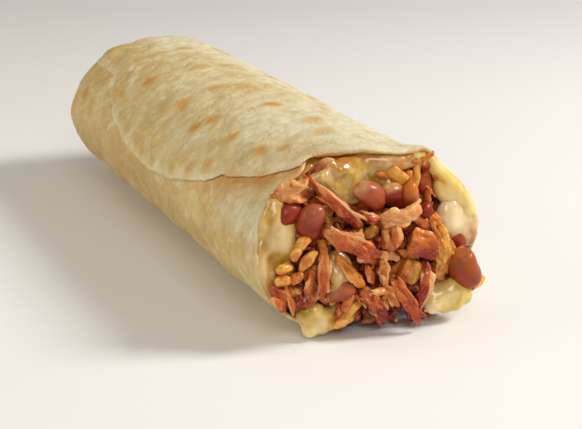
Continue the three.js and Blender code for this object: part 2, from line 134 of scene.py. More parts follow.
# The camera in the roll's frame, and its focal length in pixels of an image of this width.
CAMERA_AT = (390.392, -152.227, 139.759)
CAMERA_RIGHT = (0.40880282, 0.91260515, -0.00566441)
CAMERA_UP = (-0.28320295, 0.13275662, 0.94982723)
CAMERA_AHEAD = (-0.86756922, 0.38668787, -0.31272375)
FOCAL_PIXELS, IMAGE_WIDTH, SENSOR_WIDTH = 1311.32, 582, 36

# Square lights: place and size in metres, power and colour.
LIGHTS = {
    "key": ((0.30, 0.66, 0.62), 0.28, 7.6, (1.0, 0.98, 0.96)),
    "front": ((0.75, -0.15, 0.55), 0.4, 1.95, (1.0, 0.96, 0.90)),
    "fill": ((-0.15, -0.8, 0.40), 0.6, 2.45, (1.0, 0.93, 0.82)),
}
LIGHTS_LOOK_AT = (0, 0, 0.025)
WORLD_COLOUR, WORLD_STRENGTH = (1.0, 0.96, 0.88, 1), 0.28
FLOOR_SIDE, FLOOR_BELOW = 12.0, 0.0002


# ---- Numbers ----

def smoothstep(value, low, high):
    """Rises smoothly from 0 at low to 1 at high, which may be the smaller one."""
    t = np.clip((value - low) / (high - low), 0, 1)
    return t * t * (3 - 2 * t)


def bell(offset, width):
    return np.exp(-((offset / width) ** 2))


def signed_power(value, power):
    return np.sign(value) * np.abs(value) ** power


def degrees_apart(a, b):
    """a - b, from -180 to 180."""
    return (a - b + 180) % 360 - 180


def bumps(points, pitch, seed, octaves=1):
    """Smooth noise from about -1 to 1 at points (..., 3), with its bumps about one pitch apart."""
    moved = (points / pitch + 17.31 * seed).reshape(-1, 3).tolist()
    if octaves == 1:
        values = [noise.noise(p) for p in moved]
    else:
        values = [noise.fractal(p, 1.0, 2.0, octaves) for p in moved]
    return np.array(values).reshape(points.shape[:-1])


def vectors(*parts):
    """Vectors (..., 3) from their three parts."""
    return np.stack(np.broadcast_arrays(*parts), axis=-1)


def unit(arrows):
    """The same directions (..., 3) with a length of 1."""
    return arrows / np.maximum(np.linalg.norm(arrows, axis=-1, keepdims=True), 1e-9)


def above_floor(points):
    """The points (rows, 3), with those that lie too low lifted."""
    points[:, 2] = np.maximum(points[:, 2], FLOOR_GAP)
    return points


# ---- Meshes ----

def grid_faces(index):
    """The faces of a grid of vertex indices; a repeated index makes a triangle."""
    quads = np.stack([index[:-1, :-1], index[:-1, 1:], index[1:, 1:], index[1:, :-1]], axis=-1)
    return [tuple(dict.fromkeys(quad)) for quad in quads.reshape(-1, 4).tolist()]


def loft(start, rings, end):
    """A closed body through rings (rows, columns, 3), with one point at each end."""
    rows, columns = rings.shape[:2]
    points = np.vstack([start, rings.reshape(-1, 3), end])
    index = np.zeros((rows + 2, columns), int)
    index[1:-1] = 1 + np.arange(rows * columns).reshape(rows, columns)
    index[-1] = len(points) - 1
    return points, grid_faces(np.hstack([index, index[:, :1]]))


def join_bodies(bodies):
    """One list of points and faces from several, and which body each point came from."""
    points, faces, owner, start = [], [], [], 0
    for number, (body_points, body_faces) in enumerate(bodies):
        points.append(body_points)
        faces += [tuple(start + i for i in face) for face in body_faces]
        owner += [number] * len(body_points)
        start += len(body_points)
    return np.vstack(points), faces, np.array(owner)


def add_object(name, data):
    made = bpy.data.objects.new(name, data)
    bpy.context.scene.collection.objects.link(made)
    return made


def add_piece(name, points, faces, material, slot, nodes=(), **attributes):
    """Adds a piece that stands for the given nodes. The attributes are values per point for its material."""
    mesh = bpy.data.meshes.new(name)
    mesh.from_pydata(((points + ROLL_AT) * MM).tolist(), [], faces)
    mesh.shade_smooth()
    for key, values in attributes.items():
        mesh.attributes.new(key, "FLOAT", "POINT").data.foreach_set("value", np.asarray(values, np.float32))
    mesh.materials.append(material)
    piece = add_object(name, mesh)
    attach(piece, "root")
    if nodes:
        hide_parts(*nodes)


# ---- Materials ----

def srgb(code):
    """A colour written as 0xRRGGBB, in linear light."""
    parts = [(code >> shift & 255) / 255 for shift in (16, 8, 0)]
    return [c / 12.92 if c <= 0.04045 else ((c + 0.055) / 1.055) ** 2.4 for c in parts] + [1]


class Surface:
    """A material with one Principled shader, and short ways to add the nodes that feed it.

    base() and tint() build up its colour one layer over the other, and done() puts it on.
    """

    def __init__(self, name, **sockets):
        self.material = bpy.data.materials.new(name)
        self.material.use_nodes = True
        self.tree = self.material.node_tree
        self.shader = self.tree.nodes["Principled BSDF"]
        for key, value in sockets.items():
            self.shader.inputs[key.replace("_", " ")].default_value = value
        self.place = self.add("ShaderNodeTexCoord").outputs["Object"]
        self.colour = None

    def add(self, kind, inputs=None, **settings):
        made = self.tree.nodes.new(kind)
        for key, value in settings.items():
            setattr(made, key, value)
        for key, value in (inputs or {}).items():
            self.feed(made.inputs[key], value)
        return made

    def feed(self, socket, value):
        if isinstance(value, bpy.types.NodeSocket):
            self.tree.links.new(value, socket)
        else:
            socket.default_value = value

    def attribute(self, name):
        return self.add("ShaderNodeAttribute", attribute_name=name).outputs["Fac"]

    def noise(self, pitch, detail=3, rough=0.55, distort=0.0):
        """Noise from 0 to 1 with features about pitch millimetres across."""
        inputs = {"Vector": self.place, "Scale": 1 / (pitch * MM), "Detail": detail, "Roughness": rough,
                  "Distortion": distort}
        return self.add("ShaderNodeTexNoise", inputs).outputs["Fac"]

    def range(self, value, low, high, to_low=0.0, to_high=1.0):
        inputs = {"Value": value, "From Min": low, "From Max": high, "To Min": to_low, "To Max": to_high}
        return self.add("ShaderNodeMapRange", inputs, interpolation_type="SMOOTHSTEP").outputs["Result"]

    def math(self, operation, a, b):
        return self.add("ShaderNodeMath", {0: a, 1: b}, operation=operation).outputs["Value"]

    def times(self, a, b):
        return self.math("MULTIPLY", a, b)

    def base(self, share, low, high):
        """Starts the colour, from low to high as share goes from 0 to 1."""
        self.colour = srgb(low)
        self.tint(share, high)

    def tint(self, share, code):
        """Lays a colour over the one so far."""
        inputs = {0: share, 6: self.colour, 7: srgb(code)}
        self.colour = self.add("ShaderNodeMix", inputs, data_type="RGBA").outputs[2]

    def bump(self, height, depth, strength, below=None):
        """Relief of depth millimetres, over the relief below."""
        inputs = {"Height": height, "Distance": depth * MM, "Strength": strength}
        if below:
            inputs["Normal"] = below
        return self.add("ShaderNodeBump", inputs).outputs["Normal"]

    def done(self, normal=None):
        """Puts the colour and the relief on and gives the finished material."""
        self.feed(self.shader.inputs["Base Color"], self.colour)
        if normal:
            self.feed(self.shader.inputs["Normal"], normal)
        return self.material


def tortilla_material():
    s = Surface("tortilla", Roughness=0.58, Specular_IOR_Level=0.4, Subsurface_Weight=0.1,
                Subsurface_Scale=0.002, Subsurface_Radius=(1.0, 0.6, 0.3))
    s.base(s.range(s.noise(13, 4, 0.6), 0.36, 0.66), 0xD1B16C, 0xE1CB8E)
    # painted light: paler on top, on the far side, in patches, and inside by the wall at +y
    s.tint(s.times(s.attribute("pale"), 0.75), 0xECE5C6)
    mottled = s.noise(5.0, 4, 0.65, 0.8)
    s.tint(s.range(mottled, 0.5, 0.72, 0.0, 0.6), 0xEEE8CC)
    s.tint(s.range(mottled, 0.48, 0.3, 0.0, 0.45), 0xC8A860)
    grain = s.noise(1.6, 4, 0.7, 0.6)
    s.tint(s.range(grain, 0.56, 0.75, 0.0, 0.25), 0xF2ECD8)
    s.tint(s.range(grain, 0.45, 0.28, 0.0, 0.25), 0xBEA060)
    # painted shade: darker deep in the wrinkles' creases
    s.tint(s.times(s.attribute("crease"), 0.25), 0xB0925C)
    # painted highlight: a lighter line along the flap's free edge
    s.tint(s.times(s.attribute("edge"), 0.5), 0xF1E4BF)
    # toasted spots, and painted shade in toast colours from the warm patches
    toasted = s.times(s.attribute("toast"), s.range(s.noise(1.6, 4, 0.65), 0.25, 0.6, 0.6, 1.0))
    s.tint(s.range(toasted, 0.0, 0.4, 0.0, 0.6), 0xD2AA5E)
    s.tint(s.range(toasted, 0.3, 0.9, 0.0, 0.8), 0xCC8E36)
    s.tint(s.attribute("shade"), 0x947030)
    # sauce stains at the rim, and painted shade under the flap's edge
    stained = s.times(s.attribute("stain"), s.range(s.noise(3.5, 4, 0.6), 0.3, 0.65, 0.5, 1.0))
    s.tint(s.range(stained, 0.05, 0.9, 0.0, 0.85), 0xCE8430)
    relief = s.bump(s.noise(3.2, 5, 0.65, 1.2), 0.9, 0.75)
    return s.done(s.bump(s.noise(0.6, 4, 0.6), 0.08, 0.6, below=relief))


def bean_material():
    s = Surface("bean", Roughness=0.5, Specular_IOR_Level=0.15, Subsurface_Weight=0.4,
                Subsurface_Scale=0.003, Subsurface_Radius=(1.0, 0.3, 0.12), Coat_Weight=0.3,
                Coat_Roughness=0.16)
    s.base(s.range(s.noise(3.8, 4, 0.6), 0.32, 0.68), 0x781804, 0xA23A12)
    # how dark each bean is, with painted shade darkening its lower side
    s.tint(s.attribute("tone"), 0x7E1404)
    s.tint(s.times(s.attribute("tone"), -1.0), 0xC07C5C)
    # gold, laid mostly on the upper side as painted light
    s.tint(s.attribute("golden"), 0xD07C26)
    s.tint(s.times(s.attribute("film"), s.range(s.noise(2.4, 4, 0.65), 0.3, 0.62, 0.15, 1.0)), 0xD6A868)
    s.tint(s.range(s.noise(0.8, 2), 0.6, 0.75, 0.0, 0.35), 0x5E2410)
    return s.done(s.bump(s.noise(1.8, 4), 0.2, 0.5))


def chicken_material():
    s = Surface("chicken", Specular_IOR_Level=0.2, Subsurface_Weight=0.12, Subsurface_Scale=0.0015,
                Subsurface_Radius=(1.0, 0.4, 0.15), Coat_Weight=0.3, Coat_Roughness=0.1)
    # the shreds' tone also holds painted shade on their lower side
    tone = s.math("ADD", s.attribute("tone"), s.range(s.noise(3.2, 4, 0.65), 0.3, 0.7, -0.25, 0.25))
    s.base(s.range(tone, -0.25, 0.4), 0xDA9A58, 0xBE5012)
    s.tint(s.range(tone, 0.35, 1.1), 0x841002)
    # gold, and painted light on the shreds' upper side
    s.tint(s.attribute("golden"), 0xEC9A26)
    # painted shade in the fibres' grooves, painted light on their crests, at the edges and on one side
    fibre = s.attribute("fibre")
    s.tint(s.range(fibre, -0.1, -0.5, 0.0, 0.4), 0x6E1404)
    s.tint(s.range(fibre, 0.1, 0.6, 0.0, 0.6), 0xF0C084)
    grain = s.noise(0.7, 3, 0.6)
    s.tint(s.range(grain, 0.54, 0.7, 0.0, 0.22), 0xF0C488)
    s.tint(s.range(grain, 0.4, 0.3, 0.0, 0.3), 0x6A1606)
    s.tint(s.range(s.noise(1.1, 2), 0.68, 0.73, 0.0, 0.8), 0x3C0A04)
    s.feed(s.shader.inputs["Roughness"], s.range(s.noise(2.0, 3), 0.3, 0.7, 0.32, 0.6))
    return s.done(s.bump(s.noise(0.8, 4, 0.65), 0.25, 0.8))


def rice_material():
    s = Surface("rice", Roughness=0.36, Specular_IOR_Level=0.35, Subsurface_Weight=0.25,
                Subsurface_Scale=0.002, Subsurface_Radius=(1.0, 0.55, 0.2), Coat_Weight=0.5,
                Coat_Roughness=0.14)
    tone = s.math("ADD", s.attribute("tone"), s.range(s.noise(2.2, 4, 0.6), 0.3, 0.7, -0.4, 0.4))
    s.base(s.range(tone, -0.1, 0.5), 0xE8AC44, 0xCE761E)
    s.tint(s.range(tone, 0.5, 1.1), 0x96280A)
    s.tint(s.range(s.noise(1.5, 3, 0.6), 0.58, 0.72, 0.0, 0.5), 0xF0CC80)
    return s.done(s.bump(s.noise(1.0, 4), 0.22, 0.7))


def sauce_material():
    s = Surface("sauce", Roughness=0.4, Subsurface_Weight=0.12, Subsurface_Scale=0.002,
                Subsurface_Radius=(1.0, 0.35, 0.12), Coat_Weight=0.4, Coat_Roughness=0.12)
    s.base(s.range(s.noise(3.2, 4, 0.6), 0.35, 0.65), 0x560C04, 0x862608)
    s.tint(s.range(s.noise(1.1, 3), 0.56, 0.7, 0.0, 0.6), 0x3A0804)
    return s.done(s.bump(s.noise(1.1, 5, 0.7), 0.5, 0.9))


def cheese_material():
    s = Surface("cheese", Roughness=0.24, Subsurface_Weight=0.45, Subsurface_Scale=0.003,
                Subsurface_Radius=(1.0, 0.8, 0.35), Coat_Weight=1.0, Coat_Roughness=0.05)
    s.base(s.range(s.noise(4.5, 3), 0.34, 0.64), 0xB08428, 0xDCB65E)
    s.tint(s.attribute("yellow"), 0xF6D86C)
    s.tint(s.attribute("milky"), 0xF8E8B6)
    s.tint(s.times(s.attribute("oily"), s.range(s.noise(3.4, 3), 0.3, 0.65, 0.5, 1.0)), 0xBE761A)
    return s.done(s.bump(s.noise(3.0, 3), 0.3, 0.5))


# ---- The rolled sheet ----

def section(degrees):
    """The roll's oval at full size: a point, and the outward direction there."""
    def at(angle):
        across = signed_power(np.cos(angle), 2 / SQUARENESS)
        up = signed_power(np.sin(angle), 2 / SQUARENESS)
        return HALF_WIDTH * across * (1 - SAG * up), HALF_HEIGHT * (1 + up) - SINK

    angle, step = np.radians(degrees), math.radians(0.5)
    (y0, z0), (y1, z1), (y, z) = at(angle - step), at(angle + step), at(angle)
    length = np.hypot(y1 - y0, z1 - z0)
    return y, z, (z1 - z0) / length, (y0 - y1) / length


def roll_point(x, size, degrees, depth):
    """A point of the roll; size is 1 on the body and shrinks to 0 at the middle of the closed end."""
    y, z, out_y, out_z = section(degrees)
    scale = 1 - TAPER * (x - FULLEST_X)
    rise = scale * z - depth * out_z - CENTRE_HEIGHT
    z = np.maximum(CENTRE_HEIGHT + rise * size, depth)
    slant = END_SLANT * smoothstep(-x, -SHOULDER_X, -END_X) * (z / CENTRE_HEIGHT - 1)
    return vectors(x + slant, (scale * y - depth * out_y) * size, z)


def fold_reach(x):
    """How far the fold at the closed end opens at x, as a share of its widest."""
    back = np.clip((FLAP["start_x"] - x) / FOLD["half_length"], 0, 1)
    return (1 - back ** FOLD["curve"]) ** (1 / FOLD["curve"])


def flap_angle(x):
    """Where the sheet's free edge lies, in degrees. Towards the closed end it follows the fold there."""
    along = np.clip((x - FLAP["start_x"]) / (RIM_X - TOP_SETBACK["depth"] - FLAP["start_x"]), 0, 1)
    climb = FLAP["fall"] * (1 - (1 - along ** FLAP["curve"]) ** FLAP["power"])
    curl = (FLAP["start"] - FOLD["angle"]) * (1 - fold_reach(x))
    hang = sum(by * smoothstep(x, *reach) for by, *reach in FLAP_HANG)
    return FLAP["start"] - climb - curl + hang - NOTCH["depth"] * bell(x - NOTCH["x"], NOTCH["width"])


def setback(place, degrees):
    """How deep one of the dents named above is at an angle."""
    offset = np.abs(degrees_apart(degrees, place["angle"])) / place["width"]
    return place["depth"] * np.exp(-offset ** place.get("power", 2))


def rim_x(degrees):
    """x of the wrapper's rim."""
    return RIM_X - sum(setback(place, degrees) for place in (TOP_SETBACK, FOOT_SETBACK, FLAP_CORNER))


def wrapper_depth(x, below, degrees):
    """How deep the outer face lies under the smooth roll. below is the angle from the free edge: 360 at the
    edge itself, 0 on the layer just under it, and less than 0 where the sheet has gone under the flap."""
    shown = smoothstep(x, *FLAP["fade_x"])
    step = FLAP_STEP * (1 - smoothstep(below, 0, FLAP["recovery"]))
    lip = LIP["rise"] * np.exp((below - 360) / LIP["width"])
    dive = (1 - shown) * STEP * smoothstep(-below, 0, 10)
    fold = smoothstep(x, *CREASE["fade_x"]) * (1 - smoothstep(x, *CREASE["end_x"])) * setback(CREASE, degrees)
    corner = sum(smoothstep(x, *place["fade_x"]) * setback(place, degrees) for place in (CORNER, RIM_PEAK))
    around, along = np.radians(WAVE["turns"] * degrees), x / WAVE["length"]
    wave = WAVE["depth"] * np.sin(along + around) * np.cos(along)
    clear_of_foot = smoothstep(np.sin(np.radians(degrees)), -0.8, -0.2)
    return shown * (step - lip) + dive - fold - corner - wave * clear_of_foot


def layer_depth(x, degrees):
    """How deep the outer face of the wrapper lies at an angle."""
    return wrapper_depth(x, (degrees - flap_angle(x)) % 360, degrees)


def cap_row(fraction):
    """x and size of the closed end's rows, from its middle at 0 to the shoulder at 1."""
    turn = (1 - fraction) * np.pi / 2
    power = 2 / END_SQUARENESS
    return SHOULDER_X - (SHOULDER_X - END_X) * np.sin(turn) ** power, np.cos(turn) ** power


def end_recess(size, degrees):
    """How far the face of the closed end is sunk in."""
    reach = size + END_HOLLOW["lean"] * np.cos(np.radians(degrees - END_HOLLOW["angle"]))
    return END_HOLLOW["depth"] * (1 - smoothstep(reach, END_HOLLOW["inner"], END_HOLLOW["outer"]))


def lay_sheet():
    """The grid of the sheet's outer side. Its rows run from the closed end to the rim, and its columns from
    the free edge round to the end that is tucked in.

    Gives x, how full the roll is there, the angle from the free edge, the angle round the roll, x of the rim
    and the points, still smooth.
    """
    def body_x(rim):
        return SHOULDER_X + (rim - SHOULDER_X) * np.linspace(0, 1, BODY_ROWS)[:, None]

    cap_x, cap_size = cap_row((np.arange(1, CAP_ROWS)[:, None] / CAP_ROWS) ** 1.6)
    size = np.vstack([cap_size, np.ones((BODY_ROWS, 1))])
    straight_x = np.vstack([cap_x, body_x(RIM_X)])
    edge_x = np.vstack([cap_x, body_x(rim_x(flap_angle(RIM_X)))])
    below = np.linspace(360, -TUCK, SHEET_COLUMNS)[None, :]
    edge_wave = EDGE_WAVE * bumps(vectors(straight_x, 0, 0), 11, 11, octaves=3)
    degrees = flap_angle(edge_x) + below + edge_wave * smoothstep(below, 300, 360)
    below, size, straight_x = np.broadcast_arrays(below, size, straight_x)

    on_rim = vectors(degrees[-1:] * MM_PER_DEGREE, 0, 0)
    tucked = smoothstep(-below[-1:], 0, 6)
    rim = rim_x(degrees[-1:]) - TUCK_SETBACK * tucked + RIM_WAVE * bumps(on_rim, 9, 13, octaves=3)
    x = np.vstack([cap_x + end_recess(cap_size, degrees[:CAP_ROWS - 1]), body_x(rim)])
    tuck_sag = smoothstep(-below, 0, 8) * smoothstep(x, 60, 98)
    sag = tuck_sag * (0.05 + 0.45 * smoothstep(bumps(on_rim, 12, 17), -0.3, 0.5))
    free_edge = 0.35 * (1 - smoothstep(360 - below, 0, 3)) ** 2
    depth = wrapper_depth(straight_x, below, degrees) + sag + free_edge
    return x, size, below, degrees, rim, roll_point(x, size, degrees, depth)


def sheet_relief(points, x, size, below, degrees):
    """Bumps, wrinkles, the fold near the closed end and its pleats, in millimetres outwards. Also how deep in
    a crease each point lies."""
    warped = points + vectors(*(2.2 * bumps(points, 7, seed) for seed in (2, 8, 9)))
    crumpled = 0.4 + 0.6 * smoothstep(bumps(points, 24, 6), -0.35, 0.25)
    fine = np.abs(bumps(warped / FINE_WRINKLES["pitch"], 1, 3))
    crease = (1 - smoothstep(fine, 0, 0.2)) * crumpled
    undulation = UNDULATION["depth"] * bumps(points, UNDULATION["pitch"], 1)
    wrinkles = BROAD_WRINKLES["depth"] * bumps(warped / BROAD_WRINKLES["pitch"], 1, 4)
    wrinkles = wrinkles - FINE_WRINKLES["crease"] * crease + FINE_WRINKLES["depth"] * np.minimum(fine, 0.4)
    wrinkles = wrinkles * smoothstep(size, 0.35, 1.0)
    opening = (FLAP["start"] - FOLD["angle"]) * np.maximum(fold_reach(x), 1e-3)
    across = np.abs(degrees - FOLD["angle"]) / opening
    inside = 1 - smoothstep(across, 0.94, 1.03)
    at_end = 1 - smoothstep(x, *END_FOLD["fade_x"])
    fold = END_FOLD["depth"] * inside * smoothstep(across, 0.1, 0.95) * at_end * (below < 359)
    winding = degrees / 360 * PLEATS["count"] + 0.9 * (1 - size) + 0.5 * bumps(points, 18, 5)
    gathered = smoothstep(size, 0.06, 0.3) * (1 - smoothstep(size, 0.72, 0.95))
    pleat = PLEATS["depth"] * ((winding % 1) ** 2 - 0.35) * gathered
    return undulation + wrinkles + fold + pleat, crease


def sheet_skins(x, size, below, degrees, smooth):
    """The outer and the inner side of the sheet, and how deep in a crease each outer point lies."""
    normals = unit(np.cross(np.gradient(smooth, axis=0), np.gradient(smooth, axis=1)))
    normals[0] = (-1, 0, 0)
    relief, crease = sheet_relief(smooth, x, size, below, degrees)
    relief *= 1 - 0.6 * smoothstep(x, 95, 99)
    outer = smooth + normals * relief[..., None]
    outer[..., 2] = np.maximum(outer[..., 2], 0.0)
    thickness = SHEET_EDGE + (SHEET_THICKNESS - SHEET_EDGE) * smoothstep(360 - below, 0, EDGE_TAPER)
    thickness = thickness - RIM_THINNING["by"] * smoothstep(x, *RIM_THINNING["fade_x"])
    thickness = thickness * (1 + UNEVEN_THICKNESS * bumps(smooth, 9, 19))
    inner = outer - normals * thickness[..., None]
    inner[..., 2] = np.maximum(inner[..., 2], 0.25)
    return outer, inner, crease


def close_sheet(outer, inner, end_x):
    """One closed body from the two sides of the sheet. Also the rows of the inner side that it keeps.

    Its points are the outer rows, two rows that round off the rim, the kept rows of the inner side from the
    rim back to the closed end, and the two poles there.
    """
    rows, columns = outer.shape[:2]
    rounding = np.array([RIM_ROUNDING, 0, 0])
    lips = [outer[-1] * (1 - share) + inner[-1] * share + rounding for share in (0.3, 0.7)]
    kept = np.unique(np.r_[0:CAP_ROWS:8, CAP_ROWS + 2:rows - 34:10, rows - 32:rows:2, rows - 1])
    poles = [[end_x, 0, CENTRE_HEIGHT], [end_x + SHEET_THICKNESS, 0, CENTRE_HEIGHT]]
    points = np.vstack([outer.reshape(-1, 3), *lips, inner[kept][::-1].reshape(-1, 3), poles])

    all_rows = rows + 2 + len(kept)
    outer_pole, inner_pole = all_rows * columns, all_rows * columns + 1
    index = np.arange(all_rows * columns).reshape(all_rows, columns)
    faces = grid_faces(np.vstack([np.full(columns, outer_pole), index, np.full(columns, inner_pole)]))

    # Each long edge joins the two sides, one stretch between two kept rows at a time.
    inner_row_at = {row: all_rows - 1 - i for i, row in enumerate(kept)}
    for column, turn in ((0, 1), (columns - 1, -1)):
        for a, b in zip(np.r_[-1, kept[:-1]], kept):
            upper = [outer_pole if row < 0 else row * columns + column for row in range(a, b + 1)]
            lower = [inner_pole if row < 0 else inner_row_at[row] * columns + column for row in (b, a)]
            faces.append(tuple((upper + lower)[::turn]))
        closing = [row * columns + column for row in range(rows - 1, rows + 2)]
        closing.append(inner_row_at[rows - 1] * columns + column)
        faces.append(tuple(closing[::turn]))
    return points, faces, kept


def patch(x, degrees, place, angle, width, strength):
    """How strong one of the larger patches is at each point."""
    if "rise" in place:
        along = smoothstep(x, *place["rise"])
    else:
        middle, length = place["middle"]
        along = bell(x - middle, length)
    return strength * along * bell(degrees_apart(degrees, angle), width)


def toast_strength(x, degrees, points):
    """How toasted each point is, from the listed spots, more on the sides without any and faint ones all
    over, with painted shade in toast colours from the larger warm patches."""
    random = np.random.default_rng(5)
    spots = list(TOAST)
    for _ in range(SIDE_SPOTS):
        spot_x, angle = random.uniform(-82, 96), random.uniform(-150, 60)
        spots.append((spot_x, angle, random.uniform(2.0, 4.6), random.uniform(0.3, 1.0)))
    for _ in range(FAINT_SPOTS):
        spot_x, angle = random.uniform(-84, 98), random.uniform(0, 360)
        spots.append((spot_x, angle, random.uniform(1.2, 3.2), random.uniform(0.12, 0.4)))
    ragged = 0.42 * bumps(points, 4.2, 7, octaves=3)
    # painted shade in toast colours from the warm patches
    total = sum(patch(x, degrees, *place) for place in TOASTED_PATCHES)
    for spot_x, angle, radius, strength in spots:
        around = degrees_apart(degrees, angle) * MM_PER_DEGREE
        distance = np.hypot((x - spot_x) * 0.9, around * 1.05) / radius
        total = np.maximum(total, strength * (1 - smoothstep(distance + ragged, 0.05, 1.5)))
    return total


def paleness(x, degrees, below):
    """How much painted light makes the outer side paler. Next to the flap there is none, but for one patch
    by the opening.
    """
    pale = smoothstep(x, -20, 75) * smoothstep(degrees_apart(degrees, 70), 75, 35)
    for place in PALE_PATCHES:
        pale = np.maximum(pale, patch(x, degrees, *place))
    from_far_side = degrees_apart(degrees, 60)
    crest = 20 + 24 * smoothstep(-x, 15, 50)
    far = (1 - smoothstep(from_far_side, crest - 14, crest + 14)) * smoothstep(from_far_side, -90, -45)
    pale = np.maximum(pale, 0.9 * far)
    return np.maximum(pale * (below > 60), patch(x, degrees, *PALE_BY_OPENING))


def sauciness(degrees):
    """How much of the sauce has reached the wrapper at each angle, inside and at the rim."""
    saucy = 0.1 + 0.9 * smoothstep(np.abs(degrees_apart(degrees, 10)), 50, 100)
    saucy = saucy * (1 - 0.6 * bell(degrees_apart(degrees, 178), 30))
    return np.maximum(saucy, 1.3 * bell(degrees_apart(degrees, 62), 11))


def stains(x, degrees, below, rim, smooth):
    """How stained the outer side is at the rim, and the painted shade next to the opening where it goes
    under the flap.
    """
    tucked = smoothstep(-below, 0, 5)
    near_rim = smoothstep(x, rim - 4.5 - 3 * tucked, rim + 0.4)
    broken = 0.4 + 0.5 * tucked + 0.5 * bumps(smooth, 6, 23, octaves=2)
    at_rim = near_rim * sauciness(degrees) * broken * (below < 352)
    # painted shade under the flap's free edge
    under_flap = smoothstep(x, 40, 66) * (1 - smoothstep(below, 0, 18)) * (below > -12)
    return np.maximum(at_rim, under_flap * (0.75 + 0.3 * bumps(smooth, 9, 27)))


def make_tortilla(material):
    """The rolled sheet, how toasted and stained it is at each point, and its painted light and shade."""
    x, size, below, degrees, rim, smooth = lay_sheet()
    outer, inner, crease = sheet_skins(x, size, below, degrees, smooth)
    points, faces, kept = close_sheet(outer, inner, x[0].mean())
    columns = outer.shape[1]

    def over_body(outside, lip=0.0, inside=0.0):
        """Values for every point of the body, from those on the outer side, the rim and the inner side."""
        lip = np.broadcast_to(lip, columns)
        inside = np.broadcast_to(inside, outer.shape[:2])[kept][::-1]
        return np.concatenate([outside.ravel(), lip, lip, inside.ravel(), np.zeros(2)])

    toast = toast_strength(x, degrees, smooth)
    shade = sum(patch(x, degrees, *place) for place in DARK_PATCHES) * (below < 352)
    # painted light on the inner face and the rim by the wall at +y, which lie in shade
    cheesy = 1 - smoothstep(np.abs(degrees_apart(degrees, 10)), 45, 75)
    saucy = sauciness(degrees)
    lip_stain = saucy[-1] * (0.6 + 0.6 * bumps(smooth[-1], 7, 31))
    inner_stain = saucy * np.clip(0.75 + 0.5 * bumps(smooth, 8, 29), 0.2, 1)
    add_piece("tortilla_sheet", points, faces, material, "tortilla", ["tortilla"],
              toast=over_body(toast), crease=over_body(crease), shade=over_body(shade),
              pale=over_body(paleness(x, degrees, below), cheesy[-1], cheesy),
              # painted highlight along the free edge
              edge=over_body(smoothstep(below, 350, 358)),
              stain=over_body(stains(x, degrees, below, rim, smooth), lip_stain, inner_stain))


# ---- The filling ----

def face_x(y, z):
    """x of the open face."""
    back = FACE_LEAN * np.maximum(0, z - FACE_BACK_FROM) ** 2
    pitch = LUMPS["pitch"]
    ripple = np.sin(y / pitch + 1) * np.cos(z / pitch) + np.sin((y + z) / pitch)
    return FACE_X - back + LUMPS["depth"] * ripple * 0.5


def hollow(y, z):
    """How far the open face is sunk between the pieces, in millimetres."""
    shares = [bell(np.hypot(y - y0, z - z0), radius) for y0, z0, radius in HOLLOWS]
    return HOLLOW_DEPTH * np.max(shares, axis=0)


def layers_depth(degrees):
    """How deep the wrapper's inner face lies at an angle, two layers down under the flap."""
    turned = degrees % 360
    return STEP * (1 + smoothstep(turned, 45, 65) * (1 - smoothstep(turned, 158, 178)))


def make_core(material):
    """The saucy mass inside the wrapper, from the closed end to the open face."""
    degrees = np.linspace(0, 360, 240, endpoint=False)
    side = []
    for x, size in [(END_X + 6, 0.35), (-74, 0.75), (-63, 0.96), (0, 1), (60, 1), (80, 1)]:
        side.append(roll_point(np.full(degrees.shape, x), size, degrees, layers_depth(degrees) + 0.3))
    edge = roll_point(rim_x(degrees) - 2.5, 1, degrees, layers_depth(degrees) - 0.3)
    face = []
    for size in 1 - np.arange(FACE_ROWS) / FACE_ROWS:
        y = edge[:, 1] * size
        z = CENTRE_HEIGHT + (edge[:, 2] - CENTRE_HEIGHT) * size
        x = face_x(y, z) - 0.9
        face.append(vectors(x + (edge[:, 0] - x) * size ** 6, y, z))
    face = np.array(face)
    relief = 1.7 * bumps(face, 3.4, 41, octaves=3) + 1.2 * bumps(face, 7, 43)
    face[..., 0] += relief - hollow(face[..., 1], face[..., 2])
    rings = np.concatenate([np.array(side), face])
    points, faces = loft([END_X + 5, 0, CENTRE_HEIGHT], rings, face[-1].mean(axis=0))
    add_piece("filling_core", points, faces, material, "filling", ["filling"])


def piece_axes(tilt, lean):
    """Directions of a piece on the face: along its length, across it, and out of the face."""
    tilt, lean = math.radians(tilt), math.radians(lean)
    along = np.array([math.sin(lean), math.cos(tilt) * math.cos(lean), math.sin(tilt) * math.cos(lean)])
    out = unit(np.array([1, 0, 0]) - along * along[0])
    return along, np.cross(out, along), out


def ball_grid(rows, sides):
    """Angles of a grid on a ball, from pole to pole (rows - 1, 1, 1) and about its axis (1, sides, 1)."""
    turn = (np.arange(1, rows) / rows * np.pi)[:, None, None]
    around = (np.arange(sides) / sides * 2 * np.pi)[None, :, None]
    return turn, around


def ovoid(centre, length, width, tilt, lean, bend, rows, sides, rough=0.0, seed=0, blunt=0.85):
    """A rounded body with a slightly bent long axis."""
    along, across, out = piece_axes(tilt, lean)
    turn, around = ball_grid(rows, sides)
    radius = width / 2 * np.sin(turn) ** blunt
    reach = -np.cos(turn)
    rings = centre + along * reach * length / 2
    rings = rings + across * (bend * (1 - reach ** 2) + np.cos(around) * radius)
    rings = rings + out * np.sin(around) * radius * 0.92
    if rough:
        rings += unit(rings - centre) * (rough * bumps(rings, width * 0.8, seed))[..., None]
    return loft(centre - along * length / 2, rings, centre + along * length / 2)


def facet_reach(directions, seed, cuts=8, sharpness=14):
    """How far a box of half size 1 with a few random cuts reaches in each direction (..., 3)."""
    random = np.random.default_rng(seed)
    normals = np.vstack([np.eye(3), -np.eye(3), unit(random.normal(size=(cuts, 3)))])
    near = np.concatenate([np.ones(6), random.uniform(0.7, 1.05, cuts)])
    facing = np.maximum(directions @ normals.T, 0) / near
    return (facing ** sharpness).sum(axis=-1) ** (-1 / sharpness)


